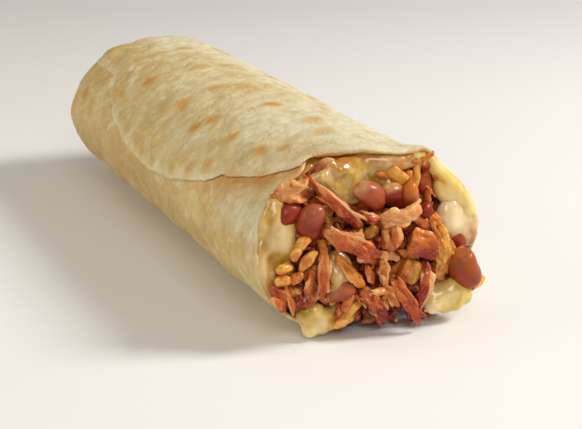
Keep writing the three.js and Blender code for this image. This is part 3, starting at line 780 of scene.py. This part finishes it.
def block(centre, half, tilt, lean, seed, rows=28, sides=36):
    """A torn block with facets. half is its half size along, across and out of the face."""
    axes = np.stack(piece_axes(tilt, lean))
    turn, around = (angles[..., 0] for angles in ball_grid(rows, sides))
    direction = vectors(-np.cos(turn), np.sin(turn) * np.cos(around), np.sin(turn) * np.sin(around))
    local = direction * facet_reach(direction, seed)[..., None] * half
    small = min(half)
    lumps = 0.2 * small * bumps(local, 1.5 * small, seed)
    fibres = 0.13 * bumps(local / [6, 1.1, 1.1], 1, seed + 5)
    rings = centre + (local + unit(local) * (lumps + fibres)[..., None]) @ axes
    return loft(rings[0].mean(axis=0), rings, rings[-1].mean(axis=0))


def facetted(around, line, seed, facets=5, sharpness=8):
    """How far a strip's section reaches along line and round it, with flats that turn slowly."""
    random = np.random.default_rng(seed)
    facing = np.zeros((len(line), len(around)))
    for k in range(facets):
        middle = (k + random.uniform(-0.3, 0.3)) * np.pi / (facets / 2)
        turned = around - middle - 0.9 * bumps(line, 5, seed + 30 + k)[:, None]
        near = random.uniform(0.78, 1.02) * (1 + 0.25 * bumps(line, 3.5, seed + 40 + k)[:, None])
        facing += (np.maximum(np.cos(turned), 0) / near) ** sharpness
    return facing ** (-1 / sharpness)


def strip(start, end, bow, width, thickness, twist=0, seed=0, rows=44, sides=30, spike=1.0, edge=0.3,
          curl=0.0, ripple=0.2, sway=0.0):
    """A strip over a bow towards +X and a sway towards +Y, with torn edges and ends.

    Its width at the start is spike times the rest, edge says how torn its sides are, curl how far they bend
    back and ripple how wavy it is.
    """
    start, end = np.array(start, float), np.array(end, float)
    middle = (start + end) / 2 + [2 * bow, 2 * sway, 0]
    around = np.arange(sides) / sides * 2 * np.pi
    u = (np.arange(1, rows) / rows)[:, None]
    length = np.linalg.norm(end - start)
    line = np.hstack([u * length, 0 * u, 0 * u])

    # The ends are torn along the fibres, so each column stops at its own place.
    ring = vectors(1.6 * np.cos(around), 1.6 * np.sin(around), 0)
    torn = 1.1 * bumps(ring, 0.6, seed + 11) * smoothstep(np.abs(2 * u - 1), 0.45, 1)
    reach = (u + torn / length * np.sign(2 * u - 1))[..., None]
    centre = (1 - reach) ** 2 * start + 2 * reach * (1 - reach) * middle + reach ** 2 * end
    tangent = unit(2 * (1 - reach) * (middle - start) + 2 * reach * (end - middle))
    wander = vectors(*(bumps(line, 6, seed + k) for k in (1, 2, 3)))
    clear_of_ends = np.sin(u * np.pi)
    centre = centre + (0.12 * width * wander * clear_of_ends)[:, None]
    centre = centre + (0.5 * wander * clear_of_ends)[:, None]
    out = unit(np.array([1, 0, 0]) - tangent * tangent[..., :1])
    across = np.cross(out, tangent)
    angle = (np.radians(twist) * (2 * u - 1))[..., None]
    out, across = out * np.cos(angle) - across * np.sin(angle), across * np.cos(angle) + out * np.sin(angle)

    share = np.sin(u * np.pi) ** 0.35 * (spike + (1 - spike) * smoothstep(u, 0, 0.55))
    swell = share * facetted(around, line, seed)
    side = np.sign(np.cos(around))
    where = vectors(u * length / 2.4, 3 * side, 0)
    sides_torn = bumps(where, 1, seed + 13) + 0.6 * bumps(where, 0.4, seed + 14)
    broad = np.cos(around) * width / 2 * swell * (1 + edge * sides_torn)
    sheet = vectors(u * length / 3.6, broad / 2.6, 0)
    lift = ripple * bumps(sheet, 1, seed + 15) * np.minimum(share, 1) - curl * broad ** 2 / width
    high = np.sin(around) * thickness / 2 * swell + lift
    rings = centre + across * broad[..., None] + out * high[..., None]
    return loft(rings[0].mean(axis=0), rings, rings[-1].mean(axis=0))


def fork(start, end, bow, width, thickness, seed, count):
    """Torn fibres along a strip, which part from it at one end."""
    random = np.random.default_rng(seed)
    middle = (start + end) / 2 + [2 * bow, 0, 0]
    across = unit(np.cross([1, 0, 0], end - start))
    made = []
    for k in range(count):
        low = random.uniform(-0.02, 0.45)
        high = min(low + random.uniform(0.4, 0.7), 1.05)
        a, b = [(1 - u) ** 2 * start + 2 * u * (1 - u) * middle + u ** 2 * end for u in (low, high)]
        lift = np.array([0.35 * thickness, 0, 0])
        near, far = random.uniform(-0.3, 0.3), random.uniform(0.35, 0.6) * random.choice([-1, 1])
        if k % 2:
            near, far = far, near
        wide = width * random.uniform(0.2, 0.36)
        a, b = a + across * near * width + lift, b + across * far * width + lift
        made.append(strip(a, b, bow * (high - low) ** 2, wide, min(wide, 0.6 * thickness),
                          random.uniform(-40, 40), seed + 20 + k, rows=30, sides=16, ripple=0.4))
    return made


def torn_shred(start, end, bow, width, thickness, seed, share, fibres=3, **shape):
    """The bodies of a shred: a strip that takes a share of its width, and fibres that part from it."""
    body = strip(start, end, bow, share * width, 0.9 * thickness, seed=seed, **shape)
    return [body, *fork(start, end, bow, width, thickness, seed, fibres)]


def fleshy(bodies, start, end, width, glow, seed):
    """Melts a shred's bodies into one, with fibres along it. Also gives the painted light and shade on each
    point: lighter on the fibres' crests, the shred's edges and one side, darker in the grooves.
    """
    points, faces, normals = melt(bodies, voxel=0.28, smoothing=3)
    along = unit(end - start)
    across = unit(np.cross([1, 0, 0], along))
    axes = np.stack([along, across, np.cross(along, across)])
    local = (points - (start + end) / 2) @ axes.T
    fibres = bumps(local / [4.5, 0.9, 0.9], 1, seed + 9, octaves=2)
    points = points + normals * (0.2 * fibres + 0.25 * bumps(points, 2.2, seed + 7))[:, None]
    side = local[:, 1] / (width / 2)
    light = 0.55 * fibres + 0.35 * smoothstep(np.abs(side), 0.55, 1.0) + glow * smoothstep(side, 0.1, 0.8)
    return points, faces, light - 0.1


def melt(bodies, voxel, smoothing):
    """One smooth closed surface round several bodies that overlap: its points, faces and normals."""
    points, faces, _ = join_bodies(bodies)
    mesh = bpy.data.meshes.new("melt")
    mesh.from_pydata((points * MM).tolist(), [], faces)
    lump = add_object("melt", mesh)
    remesh = lump.modifiers.new("join", "REMESH")
    remesh.mode, remesh.voxel_size = "VOXEL", voxel * MM
    soften = lump.modifiers.new("soften", "SMOOTH")
    soften.factor, soften.iterations = 0.6, smoothing
    melted = lump.evaluated_get(bpy.context.evaluated_depsgraph_get()).to_mesh()
    made = np.array([v.co for v in melted.vertices]) / MM
    normals = np.array([v.normal for v in melted.vertices])
    polygons = [tuple(p.vertices) for p in melted.polygons]
    bpy.data.objects.remove(lump)
    return made, polygons, normals


BEANS = [  # centre, length, width, tilt, lean, and how dark it is or, less than 0, how pale
    ([101, -16.9, 32.5], 10.2, 7.4, 79, 10, -0.1),
    ([98.6, -23.0, 34.4], 8.6, 6.6, 20, -15, 0.55),
    ([103.2, -2.2, 37.9], 9.4, 6.7, -36, 5, -0.1),
    ([101.6, 5.6, 36.2], 8.8, 6.2, -25, -10, 0.5),
    ([94.6, -10.2, 43.3], 7.6, 5.4, 70, 0, 0.1),
    ([98.6, 17.2, 38.6], 6.4, 4.4, 105, 0, 0.35),
    ([101.8, 16.2, 31], 5.4, 4.4, 100, 0, 1.0),
    ([103, 11, 36.6], 8, 5.2, 108, 8, 0.0),
    ([103.4, -9.6, 12.6], 8, 5.4, 18, 5, -0.2),
    ([106, 26.6, 14.8], 11.8, 9, 115, 12, 0.15),
    ([99.6, 27.6, 21.4], 8, 6, 100, 0, 0.0),
]
BEAN_BEND = 0.9
GOLDEN_BEANS = {5: 0.3, 6: 0.3, 8: 0.75, 9: 0.2, 10: 0.25}  # how golden they are, laid mostly on the upper side as painted light
# Beans under a film of melted cheese: how much of it, and at which angle.
FILMED_BEANS = {3: (0.6, 140), 4: (0.9, 100), 5: (0.9, 75), 8: (0.2, 0), 9: (0.5, 150), 10: (0.2, 130)}
ODD_BEANS = (6, 7, 10)  # these are squashed out of shape


def make_beans(material):
    """The beans, each a bent ovoid with dents and some with a film of cheese."""
    for number, (centre, length, width, tilt, lean, dark) in enumerate(BEANS, 1):
        blunt, dented = (0.6, 0.9) if number in ODD_BEANS else (0.8, 0.4)
        points, faces = ovoid(np.array(centre), length, width, tilt, lean, BEAN_BEND, rows=34, sides=44,
                              rough=0.25, seed=number, blunt=blunt)
        dents = dented * bumps(points, 0.9 * width, 70 + number)
        points = points + unit(points - centre) * dents[:, None]
        covered, side = FILMED_BEANS.get(number, (0, 0))
        side = np.radians(side)
        away = points - centre
        towards = (away[:, 1] * np.cos(side) + away[:, 2] * np.sin(side)) / length
        # painted light and shade: the upper side lighter and more golden, the lower side darker
        upper = smoothstep(away[:, 2], -0.3 * length, 0.4 * length)
        add_piece(f"bean_{number}_skin", points, faces, material, "bean", [f"bean_{number}"],
                  tone=dark + 0.4 * (0.4 - upper),
                  golden=GOLDEN_BEANS.get(number, 0.05) * (0.3 + 0.7 * upper),
                  film=covered * smoothstep(towards, 0.2, 0.5))


SHREDS = [  # start, end, bow, width, thickness, tone from tan at 0 to red at 1, gold, painted light on one side, shape
    ([95.9, -18.4, 44.8], [105, -5, 30.4], 2.6, 3.9, 2.6, 0.6, 0.0, 1.1, {
        "spike": 0.3, "twist": 25, "curl": 0.5}),
    ([97.4, -26.4, 39.6], [96.6, -16.4, 41.4], 1.6, 6.2, 3.6, -0.05, 0.0, 0.0, {"edge": 0.45, "ripple": 0.7}),
    ([104, -15.6, 30.6], [107, -0.2, 22.6], 1.5, 4.8, 1.5, 0.4, 0.0, 0.0, {
        "edge": 0.5, "ripple": 0.9, "curl": 0.35, "twist": 20}),
    ([102.6, -6.6, 34.2], [104.8, 1.2, 31.6], 2, 3, 1.4, 0.7, 0.0, 0.4, {"curl": 0.6}),
    ([106, -0.6, 33], [104.6, 12.6, 33], 1.8, 5.4, 2.4, -0.2, 0.0, 0.3, {
        "edge": 0.45, "ripple": 0.7, "fibres": 6}),
    ([102.6, -15.2, 28.4], [105.6, -17, 12.6], 1.6, 3.6, 2.0, 0.35, 0.15, 0.7, {"curl": 0.5}),
    ([106.4, 3.4, 15.4], [108.6, 11.2, 1.6], 1.6, 4.4, 1.5, 0.55, 0.0, 0.0, {"curl": 0.5, "twist": -20}),
    ([105, 14.2, 18.6], [107.4, 9.8, 5.6], 1.8, 4.2, 2.6, 1.05, 0.0, 1.0, {}),
    ([104.6, -4.6, 14], [105.4, 2.4, 3], 1.4, 4.6, 3, 1.0, 0.0, 0.0, {"edge": 0.4}),
    ([104.6, 3, 31.2], [105.4, 2.6, 23.6], 2.4, 6, 3.4, 0.15, 0.0, 0.6, {}),
    ([103.4, 8.4, 25.6], [104.4, 16.6, 22.4], 2, 7.4, 4.4, 0.8, 0.3, 0.0, {}),
    ([98.4, -25.6, 16.4], [99.6, -20.6, 8.4], 1.6, 5, 3.4, 0.8, 0.0, 0.0, {}),
]
BLOCKS = (11, 12)  # these are thick torn pieces
CURL = 10  # and this one is a curl of thin layers


def block_between(start, end, bow, width, thickness, seed):
    """A torn block as long as the way from start to end."""
    run = end - start
    length = np.linalg.norm(run)
    tilt, lean = math.degrees(math.atan2(run[2], run[1])), math.degrees(math.asin(run[0] / length))
    return block((start + end) / 2 + [bow, 0, 0], (length / 2, width / 2, thickness / 2), tilt, lean, seed)


def curl_between(start, end, bow, width, thickness, seed):
    """Thin layers side by side that bow out one over the other."""
    layers = []
    for k, shift in enumerate(np.linspace(-0.5, 0.5, 7)):
        move = np.array([0.5 * math.cos(3 * shift), 0.45 * shift * width, 0.5 * math.sin(5 * k)])
        layers.append(strip(start + move, end + move * [1, 0.6, 0], bow + 1.2 * math.cos(4 * shift),
                            0.13 * width, 0.9 * thickness, 60 * shift, seed + k, rows=36, sides=26,
                            curl=0.2, sway=0.45 * shift * width))
    return layers


def make_shreds(material):
    """The larger pieces of chicken."""
    for number, (start, end, bow, width, thickness, tone, gold, glow, style) in enumerate(SHREDS, 1):
        seed = 50 * number
        start, end = np.array(start), np.array(end)
        if number in BLOCKS:
            made = [block_between(start, end, bow, width, thickness, seed)]
        elif number == CURL:
            made = curl_between(start, end, bow, width, thickness, seed)
        else:
            made = torn_shred(start, end, bow, width, thickness, seed, share=0.92, **style)
        points, faces, light = fleshy(made, start, end, width, glow, seed)
        points = above_floor(points)
        # painted light and shade: each shred's upper side more golden, its lower side redder and darker
        upper = smoothstep(points[:, 2] - (start[2] + end[2]) / 2, -0.5 * width, 0.6 * width)
        patchy = np.clip(0.6 + 1.2 * bumps(points, 3, seed + 19), 0, 1)
        add_piece(f"shred_{number}_meat", points, faces, material, "chicken", [f"shred_{number}"],
                  tone=tone + 0.3 * bumps(points, 3.6, seed + 17) + 0.35 * (0.4 - upper),
                  golden=np.clip((gold + 0.15 * patchy) * upper, 0, 1), fibre=light)


# Melted cheese: centre, half sizes out, across and up, tilt, how amber and towards which angle, how yellow
# and
# how milky. Then the lobes that it has besides, as an offset and a radius.
CHEESES = {
    "cheese_top": ([95.6, 1.4, 42.4], [3.4, 13.4, 5.0], -3, 0.8, 90, 0.1, 0.05, [
        ([1.6, -13.8, 0.7], 2.1), ([1.8, -9.0, 1.4], 2.2), ([1.6, -11.5, -2.4], 2.3),
        ([1.2, -11.5, 3.4], 1.5), ([-0.6, -14.6, -1.0], 2.3), ([-0.2, -13.4, -4.0], 2.0),
        ([0.8, -9.6, -3.4], 3.0), ([1.8, -8.6, -5.6], 2.7), ([2.6, -5.6, -5.0], 2.8),
        ([2.4, 4.8, -3.6], 2.6), ([1.6, 9.6, -2.8], 2.2), ([0.8, -6.0, -1.0], 3.6)]),
    "cheese_left": ([98.4, -25.4, 29.4], [3.2, 5.2, 10.0], 8, 0.45, -80, 0.1, 0.15, [
        ([0.6, 2.6, -4.2], 3.2), ([0.4, 1.2, -8.6], 2.9), ([-0.6, -1.4, 8.0], 2.4),
        ([-0.4, -2.6, -9.4], 3.2), ([-0.8, -2.4, -13.6], 2.8), ([0.2, -1.8, 4.0], 2.4),
        ([0.2, -3.4, -3.0], 2.4)]),
    "cheese_low_left": ([99.4, -15.2, 5.4], [4.2, 6.6, 3.7], -14, 0.0, 0, 0.25, 0.2, [
        ([1.6, -2.4, -2.2], 2.4), ([1.8, 3.4, -1.6], 2.2), ([0.6, 5.0, 0.8], 2.2),
        ([2.2, -1.6, 2.4], 2.6), ([1.6, 0.8, -2.4], 2.3)]),
    "cheese_middle": ([102.2, -10.2, 18.4], [2.4, 4.2, 6.2], 12, 0.3, 180, 0.0, 0.35, [
        ([0.6, -0.5, -4.0], 2.4), ([1.4, -1.6, -0.6], 2.4), ([1.2, -1.6, -3.6], 2.3)]),
    "cheese_wall": ([98, 24.6, 35.2], [2.6, 4.0, 7.0], 38, 0.2, 200, 0.95, 0.1, [
        ([-0.6, -2.6, 4.0], 2.2), ([0.2, 2.8, -3.6], 2.8), ([0.6, 0.4, -5.0], 2.6),
        ([1.2, 4.0, -7.0], 2.6), ([1.6, 3.2, -2.0], 2.2), ([1.8, 4.4, -5.6], 2.2)]),
    "cheese_right": ([99.4, 25.6, 26.4], [2.8, 5.4, 7.0], 20, 0.7, -75, 0.0, 0.7, [
        ([0.6, 1.4, -3.2], 2.6), ([-0.2, 3.2, 0.0], 2.8), ([-0.2, 3.0, -5.4], 2.6)]),
    "cheese_low_right": ([104.4, 21, 8], [3.8, 7.6, 3.4], 14, 0.0, 0, 0.3, 0.35, [
        ([1.2, 5.0, -1.4], 2.6), ([1.4, -4.6, -2.2], 2.4), ([-1.0, -5.6, 1.4], 2.8),
        ([0.4, 1.6, 1.6], 2.8), ([1.4, -0.6, -2.4], 2.7), ([1.8, 2.4, -2.6], 2.4)]),
}
# Where they line the rim: from and to angles, how far behind the rim and under the wrapper, and a radius.
LININGS = {
    "cheese_left": [(150, 216, 0.8, 2.2, 2.0)],
    "cheese_wall": [(14, 62, 1.2, 2.7, 2.0), (12, 58, -0.4, 1.8, 1.4), (44, 66, 0.5, 2.3, 1.5)],
    "cheese_right": [(-14, 14, 1.2, 2.7, 2.0), (-12, 12, -0.4, 1.8, 1.4)],
    "cheese_top": [(62, 128, 1.3, 3.6, 2.0), (42, 70, 0.8, 2.7, 1.7)],
}


def behind_cheese(y, z):
    """Whether a place on the open face lies behind one of them."""
    for (_, y0, z0), (_, across, up), tilt, *_ in CHEESES.values():
        turn = math.radians(tilt)
        along = (y - y0) * math.cos(turn) + (z - z0) * math.sin(turn)
        above = (z - z0) * math.cos(turn) - (y - y0) * math.sin(turn)
        if math.hypot(along / across, above / up) < 1.1:
            return True
    return False


def ellipsoid(centre, half, tilt, rows=20, sides=28):
    """A smooth body. half is its half size out of the face, across and up."""
    along, across, out = piece_axes(tilt, 0)
    turn, around = ball_grid(rows, sides)
    reach, radius = -np.cos(turn), np.sin(turn)
    rings = centre + along * reach * half[1] + across * radius * np.cos(around) * half[2]
    rings = rings + out * radius * np.sin(around) * half[0]
    return loft(centre - along * half[1], rings, centre + along * half[1])


def lobe(centre, radius, rows, sides):
    """A drop of cheese, a little taller than it is wide."""
    return ovoid(centre, 2.2 * radius, 2 * radius, 80, 0, 0, rows, sides)


def make_cheeses(material):
    """The pools of cheese, each melted together from a body, its lobes and what lines the rim."""
    for name, (centre, half, tilt, oily, oily_side, yellow, milky, lobes) in CHEESES.items():
        bodies = [ellipsoid(np.array(centre), half, tilt)]
        bodies += [lobe(centre + np.array(offset), radius, rows=16, sides=20) for offset, radius in lobes]
        for first, last, back, depth, radius in LININGS.get(name, []):
            for degrees in np.arange(first, last, 4.0):
                x = rim_x(degrees) - back
                at_wall = roll_point(x, 1, degrees, depth + layer_depth(x, degrees))
                bodies.append(lobe(at_wall, radius, rows=12, sides=16))
        points, faces, normals = melt(bodies, voxel=0.42, smoothing=20)
        folds = 0.55 * bumps(points, 6, 61) + 0.5 * np.abs(bumps(points / [1, 1, 1.8], 3.8, 63)) - 0.15
        points = above_floor(points + normals * folds[:, None])
        turned = math.radians(oily_side)
        side = (points[:, 1] - centre[1]) * math.cos(turned) + (points[:, 2] - centre[2]) * math.sin(turned)
        side = smoothstep(side, -0.1 * half[2], 0.9 * half[2])
        patchy = 0.2 + side + 0.8 * bumps(points, 6, 64)
        add_piece(f"{name}_melt", points, faces, material, "cheese", [name],
                  oily=np.clip(oily * patchy, 0, 1), yellow=np.full(len(points), yellow),
                  milky=np.clip(milky * (1.4 - side) + 1.2 * bumps(points, 7.5, 65) - 0.1, 0, 1))


GRAINS = [  # the rice that stands out: y, z, tilt, length, width and how far from the face
    (-20.6, 27.6, 35, 4.6, 3.2, 1.8), (-19.6, 23.1, 46, 7.0, 2.8, 1.8), (-22.4, 25.2, 60, 4.2, 2.8, 1.6),
    (-25.9, 21.5, 4, 4.4, 3.1, 1.8), (-26.3, 18.3, 13, 4.6, 3.1, 1.8), (-22.9, 18.8, 31, 4.2, 3.1, 2.2),
    (-7.5, 7.2, 41, 7.0, 2.7, 2.6), (-9.6, 4.6, 20, 6.0, 2.8, 3.2), (-0.5, 27.5, 16, 4.2, 3.2, 2.6),
    (-25.8, 39.2, 8, 4.4, 2.4, 1.4), (20.4, 16.2, 45, 5.0, 2.4, 2.6), (3.2, 10.2, 34, 5.6, 2.5, 3.0),
    (-8.3, 9.4, 69, 5.6, 2.5, 2.4), (20.3, 25.4, 120, 5.4, 2.5, 2.4), (4.6, 42.0, 163, 5.4, 2.2, 3.6),
    (12.0, 40.2, 100, 5.0, 2.4, 3.6), (14.2, 40.8, 81, 7.6, 2.4, 4.0),
]
MORSELS = [  # golden morsels: y, z, tilt, half sizes along, across and out, how far from the face, and tone
    (9.6, 15.6, 62, (3.8, 2.8, 2.2), 2.8, 0.5), (11.0, 15.4, 66, (3.2, 1.6, 1.6), 4.0, 0.0),
    (20.5, 21.6, 129, (3.4, 2.4, 1.8), 2.8, 0.0), (20.8, 18.4, 60, (2.8, 1.8, 1.4), 2.8, 0.1),
    (-12.4, 42.0, 150, (3.0, 1.5, 1.4), 0.2, 1.1), (19.4, 15.0, 70, (3.0, 1.8, 1.6), 1.6, 0.3),
    (7.6, 41.6, 141, (2.8, 1.9, 1.6), 4.6, 0.0), (17.5, 5.2, 139, (2.4, 1.9, 1.6), 2.4, 0.1),
    (30.3, 9.6, 40, (3.0, 1.2, 2.0), 3.2, 0.0),
]


def spot_on_face(random, reach):
    """A random place on the open face, inside the wrapper."""
    turn, share = random.uniform(0, 2 * math.pi), reach * math.sqrt(random.uniform(0, 1))
    edge = roll_point(np.array(RIM_X), 1, np.degrees(turn), 4.0)
    return edge[1] * share, CENTRE_HEIGHT + (edge[2] - CENTRE_HEIGHT) * share


def sunk_x(y, z):
    """x of the small things on the open face, which lie in its hollows and behind the cheese."""
    return face_x(y, z) - hollow(y, z) - 3.0 * behind_cheese(y, z)


def make_rice(material):
    """Rice grains and golden morsels on the open face."""
    random = np.random.default_rng(31)
    bodies, tones = [], []
    for y, z, tilt, length, width, out in GRAINS:
        at = np.array([face_x(y, z) + out, y, z])
        bodies.append(ovoid(at, length, width, tilt, random.uniform(-12, 12), GRAIN_BEND, rows=22, sides=22,
                            rough=0.55, seed=len(bodies), blunt=GRAIN_BLUNT))
        tones.append(random.uniform(0.05, 0.6))
    for y, z, tilt, half, out, tone in MORSELS:
        bodies.append(block(np.array([face_x(y, z) + out, y, z]), half, tilt, 0, 7 * len(bodies)))
        tones.append(tone)
    for _ in range(LOOSE_GRAINS):
        y, z = spot_on_face(random, 0.97)
        x = sunk_x(y, z) + random.uniform(-0.6, 0.8)
        length, width = random.uniform(4.0, 5.8), random.uniform(2.0, 2.7)
        tilt, lean = random.uniform(0, 360), random.uniform(-45, 45)
        at = np.array([x, y, max(z, 2.2)])
        bodies.append(ovoid(at, length, width, tilt, lean, GRAIN_BEND, rows=14, sides=14, rough=0.35,
                            seed=len(bodies), blunt=GRAIN_BLUNT))
        tones.append(random.uniform(0.2, 1.2))
    points, faces, owner = join_bodies(bodies)
    add_piece("rice_grains", above_floor(points), faces, material, "filling", tone=np.array(tones)[owner])


STRANDS = [  # y, z, tilt, length, width, thickness, how far from the face, tone and gold
    (21.6, 10.4, 19, 7.0, 3.6, 2.8, 0.6, 0.6, 0.2), (7.7, 9.0, 100, 6.0, 3.4, 2.8, 0.4, 0.9, 0.0),
    (-8.2, 19.0, 128, 13.0, 3.8, 2.4, 2.6, 0.2, 0.55), (-19.5, 17.4, 75, 7.0, 3.6, 2.4, 2.2, 0.7, 0.1),
    (-27.6, 13.6, 114, 8.6, 4.4, 2.6, 1.4, 0.7, 0.1), (-24.7, 12.9, 103, 9.0, 1.9, 1.5, 2.2, 0.3, 0.3),
    (16.8, 35.0, 95, 6.4, 2.8, 2.2, 2.6, 0.6, 0.3), (14.3, 28.2, 138, 5.6, 3.4, 2.6, 2.4, 0.6, 0.2),
    (17.9, 28.8, 135, 5.6, 3.0, 2.4, 2.4, 0.3, 0.6), (20.3, 16.8, 124, 8.0, 3.8, 2.2, 2.2, 0.1, 0.5),
    (15.9, 15.5, 139, 6.4, 2.8, 2.2, 2.4, 1.1, 0.0), (1.9, 16.7, 98, 8.4, 3.3, 2.8, 3.2, 0.0, 0.2),
    (0.6, 12.1, 1, 8.6, 2.5, 2.2, 3.4, 0.0, 0.2), (3.5, 10.0, 129, 4.4, 2.2, 1.8, 3.2, 0.2, 0.3),
    (-0.3, 6.6, 146, 7.4, 3.8, 3.0, 2.6, 1.2, 0.0), (-6.6, 34.9, 151, 6.0, 1.6, 1.3, 2.2, 0.6, 0.3),
    (10.6, 4.6, 100, 7.0, 3.4, 2.8, 0.8, 0.9, 0.0), (14.6, 4.0, 60, 6.0, 3.2, 2.6, 0.4, 1.0, 0.0),
    (5.0, 44.4, 163, 7.0, 2.0, 1.4, 1.4, 0.4, 0.5), (13.4, 43.0, 150, 6.0, 2.2, 1.5, 1.0, 0.5, 0.4),
    (8.0, 30.6, 100, 5.0, 2.4, 2.0, 1.8, 1.0, 0.0), (12.0, 22.0, 90, 7.0, 2.6, 2.0, 0.6, 0.9, 0.0),
    (18.3, 20.4, 112, 7.0, 1.5, 1.2, 3.4, -0.1, 0.6), (19.9, 21.2, 115, 6.6, 1.4, 1.2, 3.8, -0.2, 0.7),
    (21.6, 22.6, 117, 5.6, 1.4, 1.2, 3.6, -0.1, 0.6), (17.3, 26.4, 104, 6.4, 2.0, 1.6, 3.2, 0.0, 0.5),
    (-2.6, 21.6, 148, 7.0, 3.2, 2.6, 2.0, 0.6, 0.1), (3.7, 21.2, 160, 7.6, 2.4, 2.0, 3.0, -0.2, 0.0),
    (-2.1, 16.7, 113, 6.5, 2.4, 2.0, 2.2, 0.3, 0.2), (10.3, 20.3, 159, 6.8, 2.2, 1.8, 2.4, 0.2, 0.3),
    (-3.7, 9.5, 135, 6.0, 2.4, 2.0, 1.8, 0.4, 0.2), (4.0, 9.1, 132, 6.0, 2.2, 1.8, 3.2, 0.1, 0.2),
]
STRAND_BOW = 0.6


def make_strands(material):
    """Strands and lumps of chicken that stand out between the larger pieces."""
    made, tones, golds, lights = [], [], [], []
    for number, (y, z, tilt, length, width, thickness, out, tone, gold) in enumerate(STRANDS):
        turn = math.radians(tilt)
        run = 0.5 * length * np.array([0, math.cos(turn), math.sin(turn)])
        middle = np.array([face_x(y, z) + out, y, z])
        start, end = middle - run, middle + run
        seed = 700 + 60 * number
        bodies = torn_shred(start, end, STRAND_BOW, width, thickness, seed, share=0.9, fibres=2, twist=15,
                            curl=0.3, ripple=0.4)
        points, faces, light = fleshy(bodies, start, end, width, glow=0.3, seed=seed)
        made.append((points, faces))
        lights.append(light)
        tones.append(tone + 0.35 * bumps(points, 3.6, seed + 17))
        golds.append(np.full(len(points), gold))
    points, faces, _ = join_bodies(made)
    add_piece("chicken_strands", above_floor(points), faces, material, "filling",
              tone=np.concatenate(tones), golden=np.concatenate(golds), fibre=np.concatenate(lights))


def torn_bits(random):
    """Small torn bits of chicken between the larger pieces, then under them at the foot of the opening."""
    made = []
    while len(made) < SCRAPS + SPILL:
        seed = 900 + 13 * len(made)
        on_face = len(made) < SCRAPS
        if on_face:
            y, z = spot_on_face(random, 0.95)
            x = sunk_x(y, z) + random.uniform(-1.4, 1.4)
        else:
            y, z = random.uniform(-19, 24), random.uniform(1.4, 10)
            x = random.uniform(93, 102.5)
        turn, length = random.uniform(0, 2 * math.pi), random.uniform(2.6, 8)
        run = np.array([random.uniform(-1, 1), length * math.cos(turn), length * math.sin(turn)])
        from_middle = np.hypot(y / SCRAP_REACH[0], (z - CENTRE_HEIGHT) / SCRAP_REACH[1])
        if on_face and from_middle + np.hypot(*run[1:]) / 90 > 1.0:
            continue
        middle, width = np.array([x, y, z]), random.uniform(1.1, 2.6)
        if random.uniform(0, 1) < STRIP_SHARE:
            bow, twist = random.uniform(0, 0.8), random.uniform(-40, 40)
            made.append(strip(middle - run / 2, middle + run / 2, bow, width, 0.65 * width, twist, seed,
                              rows=14, sides=12, edge=0.4))
        else:
            half = (0.34 * length, 0.55 * width, 0.45 * width)
            made.append(block(middle, half, math.degrees(turn), 0, seed, rows=12, sides=14))
    return made


def rim_crumbs(random):
    """Crumbs on the rim where the flap's corner is."""
    made = []
    for number in range(CRUMBS):
        degrees = random.uniform(46, 64)
        x = rim_x(degrees) - random.uniform(-0.6, 2.4)
        at_rim = roll_point(x, 1, degrees, random.uniform(1.0, 4.5) + layer_depth(x, degrees))
        size = random.uniform(0.7, 1.4)
        tilt = random.uniform(0, 180)
        made.append(block(at_rim, (1.5 * size, size, size), tilt, 0, number, rows=12, sides=14))
    return made


def make_scraps(material):
    """All the small bits of chicken, melted into one another."""
    random = np.random.default_rng(37)
    points, faces, normals = melt(torn_bits(random) + rim_crumbs(random), voxel=0.36, smoothing=2)
    fibres = bumps(points / [1.6, 0.9, 1.6], 1, 71, octaves=2)
    points = above_floor(points + normals * (0.16 * fibres)[:, None])
    low = smoothstep(18 - points[:, 2], -6, 6)
    # painted light on the fibres' crests and painted shade in their grooves
    add_piece("chicken_scraps", points, faces, material, "filling", fibre=0.9 * fibres,
              tone=0.95 + 0.35 * low + 0.9 * bumps(points, 4.5, 73),
              golden=np.clip(0.15 + 0.9 * bumps(points, 6, 74), 0, 0.7))


# ---- The object ----

make_tortilla(tortilla_material())
make_core(sauce_material())
make_beans(bean_material())
chicken = chicken_material()
make_shreds(chicken)
make_strands(chicken)
make_scraps(chicken)
make_cheeses(cheese_material())
make_rice(rice_material())


# ---- Floor, light and camera ----

def add_floor():
    mesh = bpy.data.meshes.new("floor")
    x = y = FLOOR_SIDE / 2
    corners = [(-x, -y), (x, -y), (x, y), (-x, y)]
    mesh.from_pydata([(*corner, -FLOOR_BELOW) for corner in corners], [], [(0, 1, 2, 3)])
    s = Surface("floor", Roughness=0.9)
    s.base(s.noise(400, 2), 0xECEBE8, 0xF1F0EE)
    mesh.materials.append(s.done())
    floor = add_object("floor", mesh)


def add_light(name, place, size, power, tint):
    light = bpy.data.lights.new(name, "AREA")
    light.size, light.energy, light.color = size, power, tint
    lamp = add_object(name, light)
    lamp.location = place
    lamp.rotation_mode = "QUATERNION"
    lamp.rotation_quaternion = (Vector(LIGHTS_LOOK_AT) - Vector(place)).to_track_quat("-Z", "Y")


def add_world():
    world = bpy.data.worlds.new("studio")
    world.use_nodes = True
    background = world.node_tree.nodes["Background"]
    background.inputs["Color"].default_value = WORLD_COLOUR
    background.inputs["Strength"].default_value = WORLD_STRENGTH
    bpy.context.scene.world = world
    bpy.context.scene.view_settings.view_transform = "Standard"


def add_camera():
    camera = bpy.data.cameras.new("camera")
    camera.sensor_width = SENSOR_WIDTH
    camera.lens = SENSOR_WIDTH * FOCAL_PIXELS / IMAGE_WIDTH
    view = add_object("camera", camera)
    turned = Matrix((CAMERA_RIGHT, CAMERA_UP, -Vector(CAMERA_AHEAD))).transposed().to_4x4()
    view.matrix_world = Matrix.Translation((np.array(CAMERA_AT) + ROLL_AT) * MM) @ turned
    bpy.context.scene.camera = view


add_floor()
for light_name, settings in LIGHTS.items():
    add_light(light_name, *settings)
add_world()
add_camera()
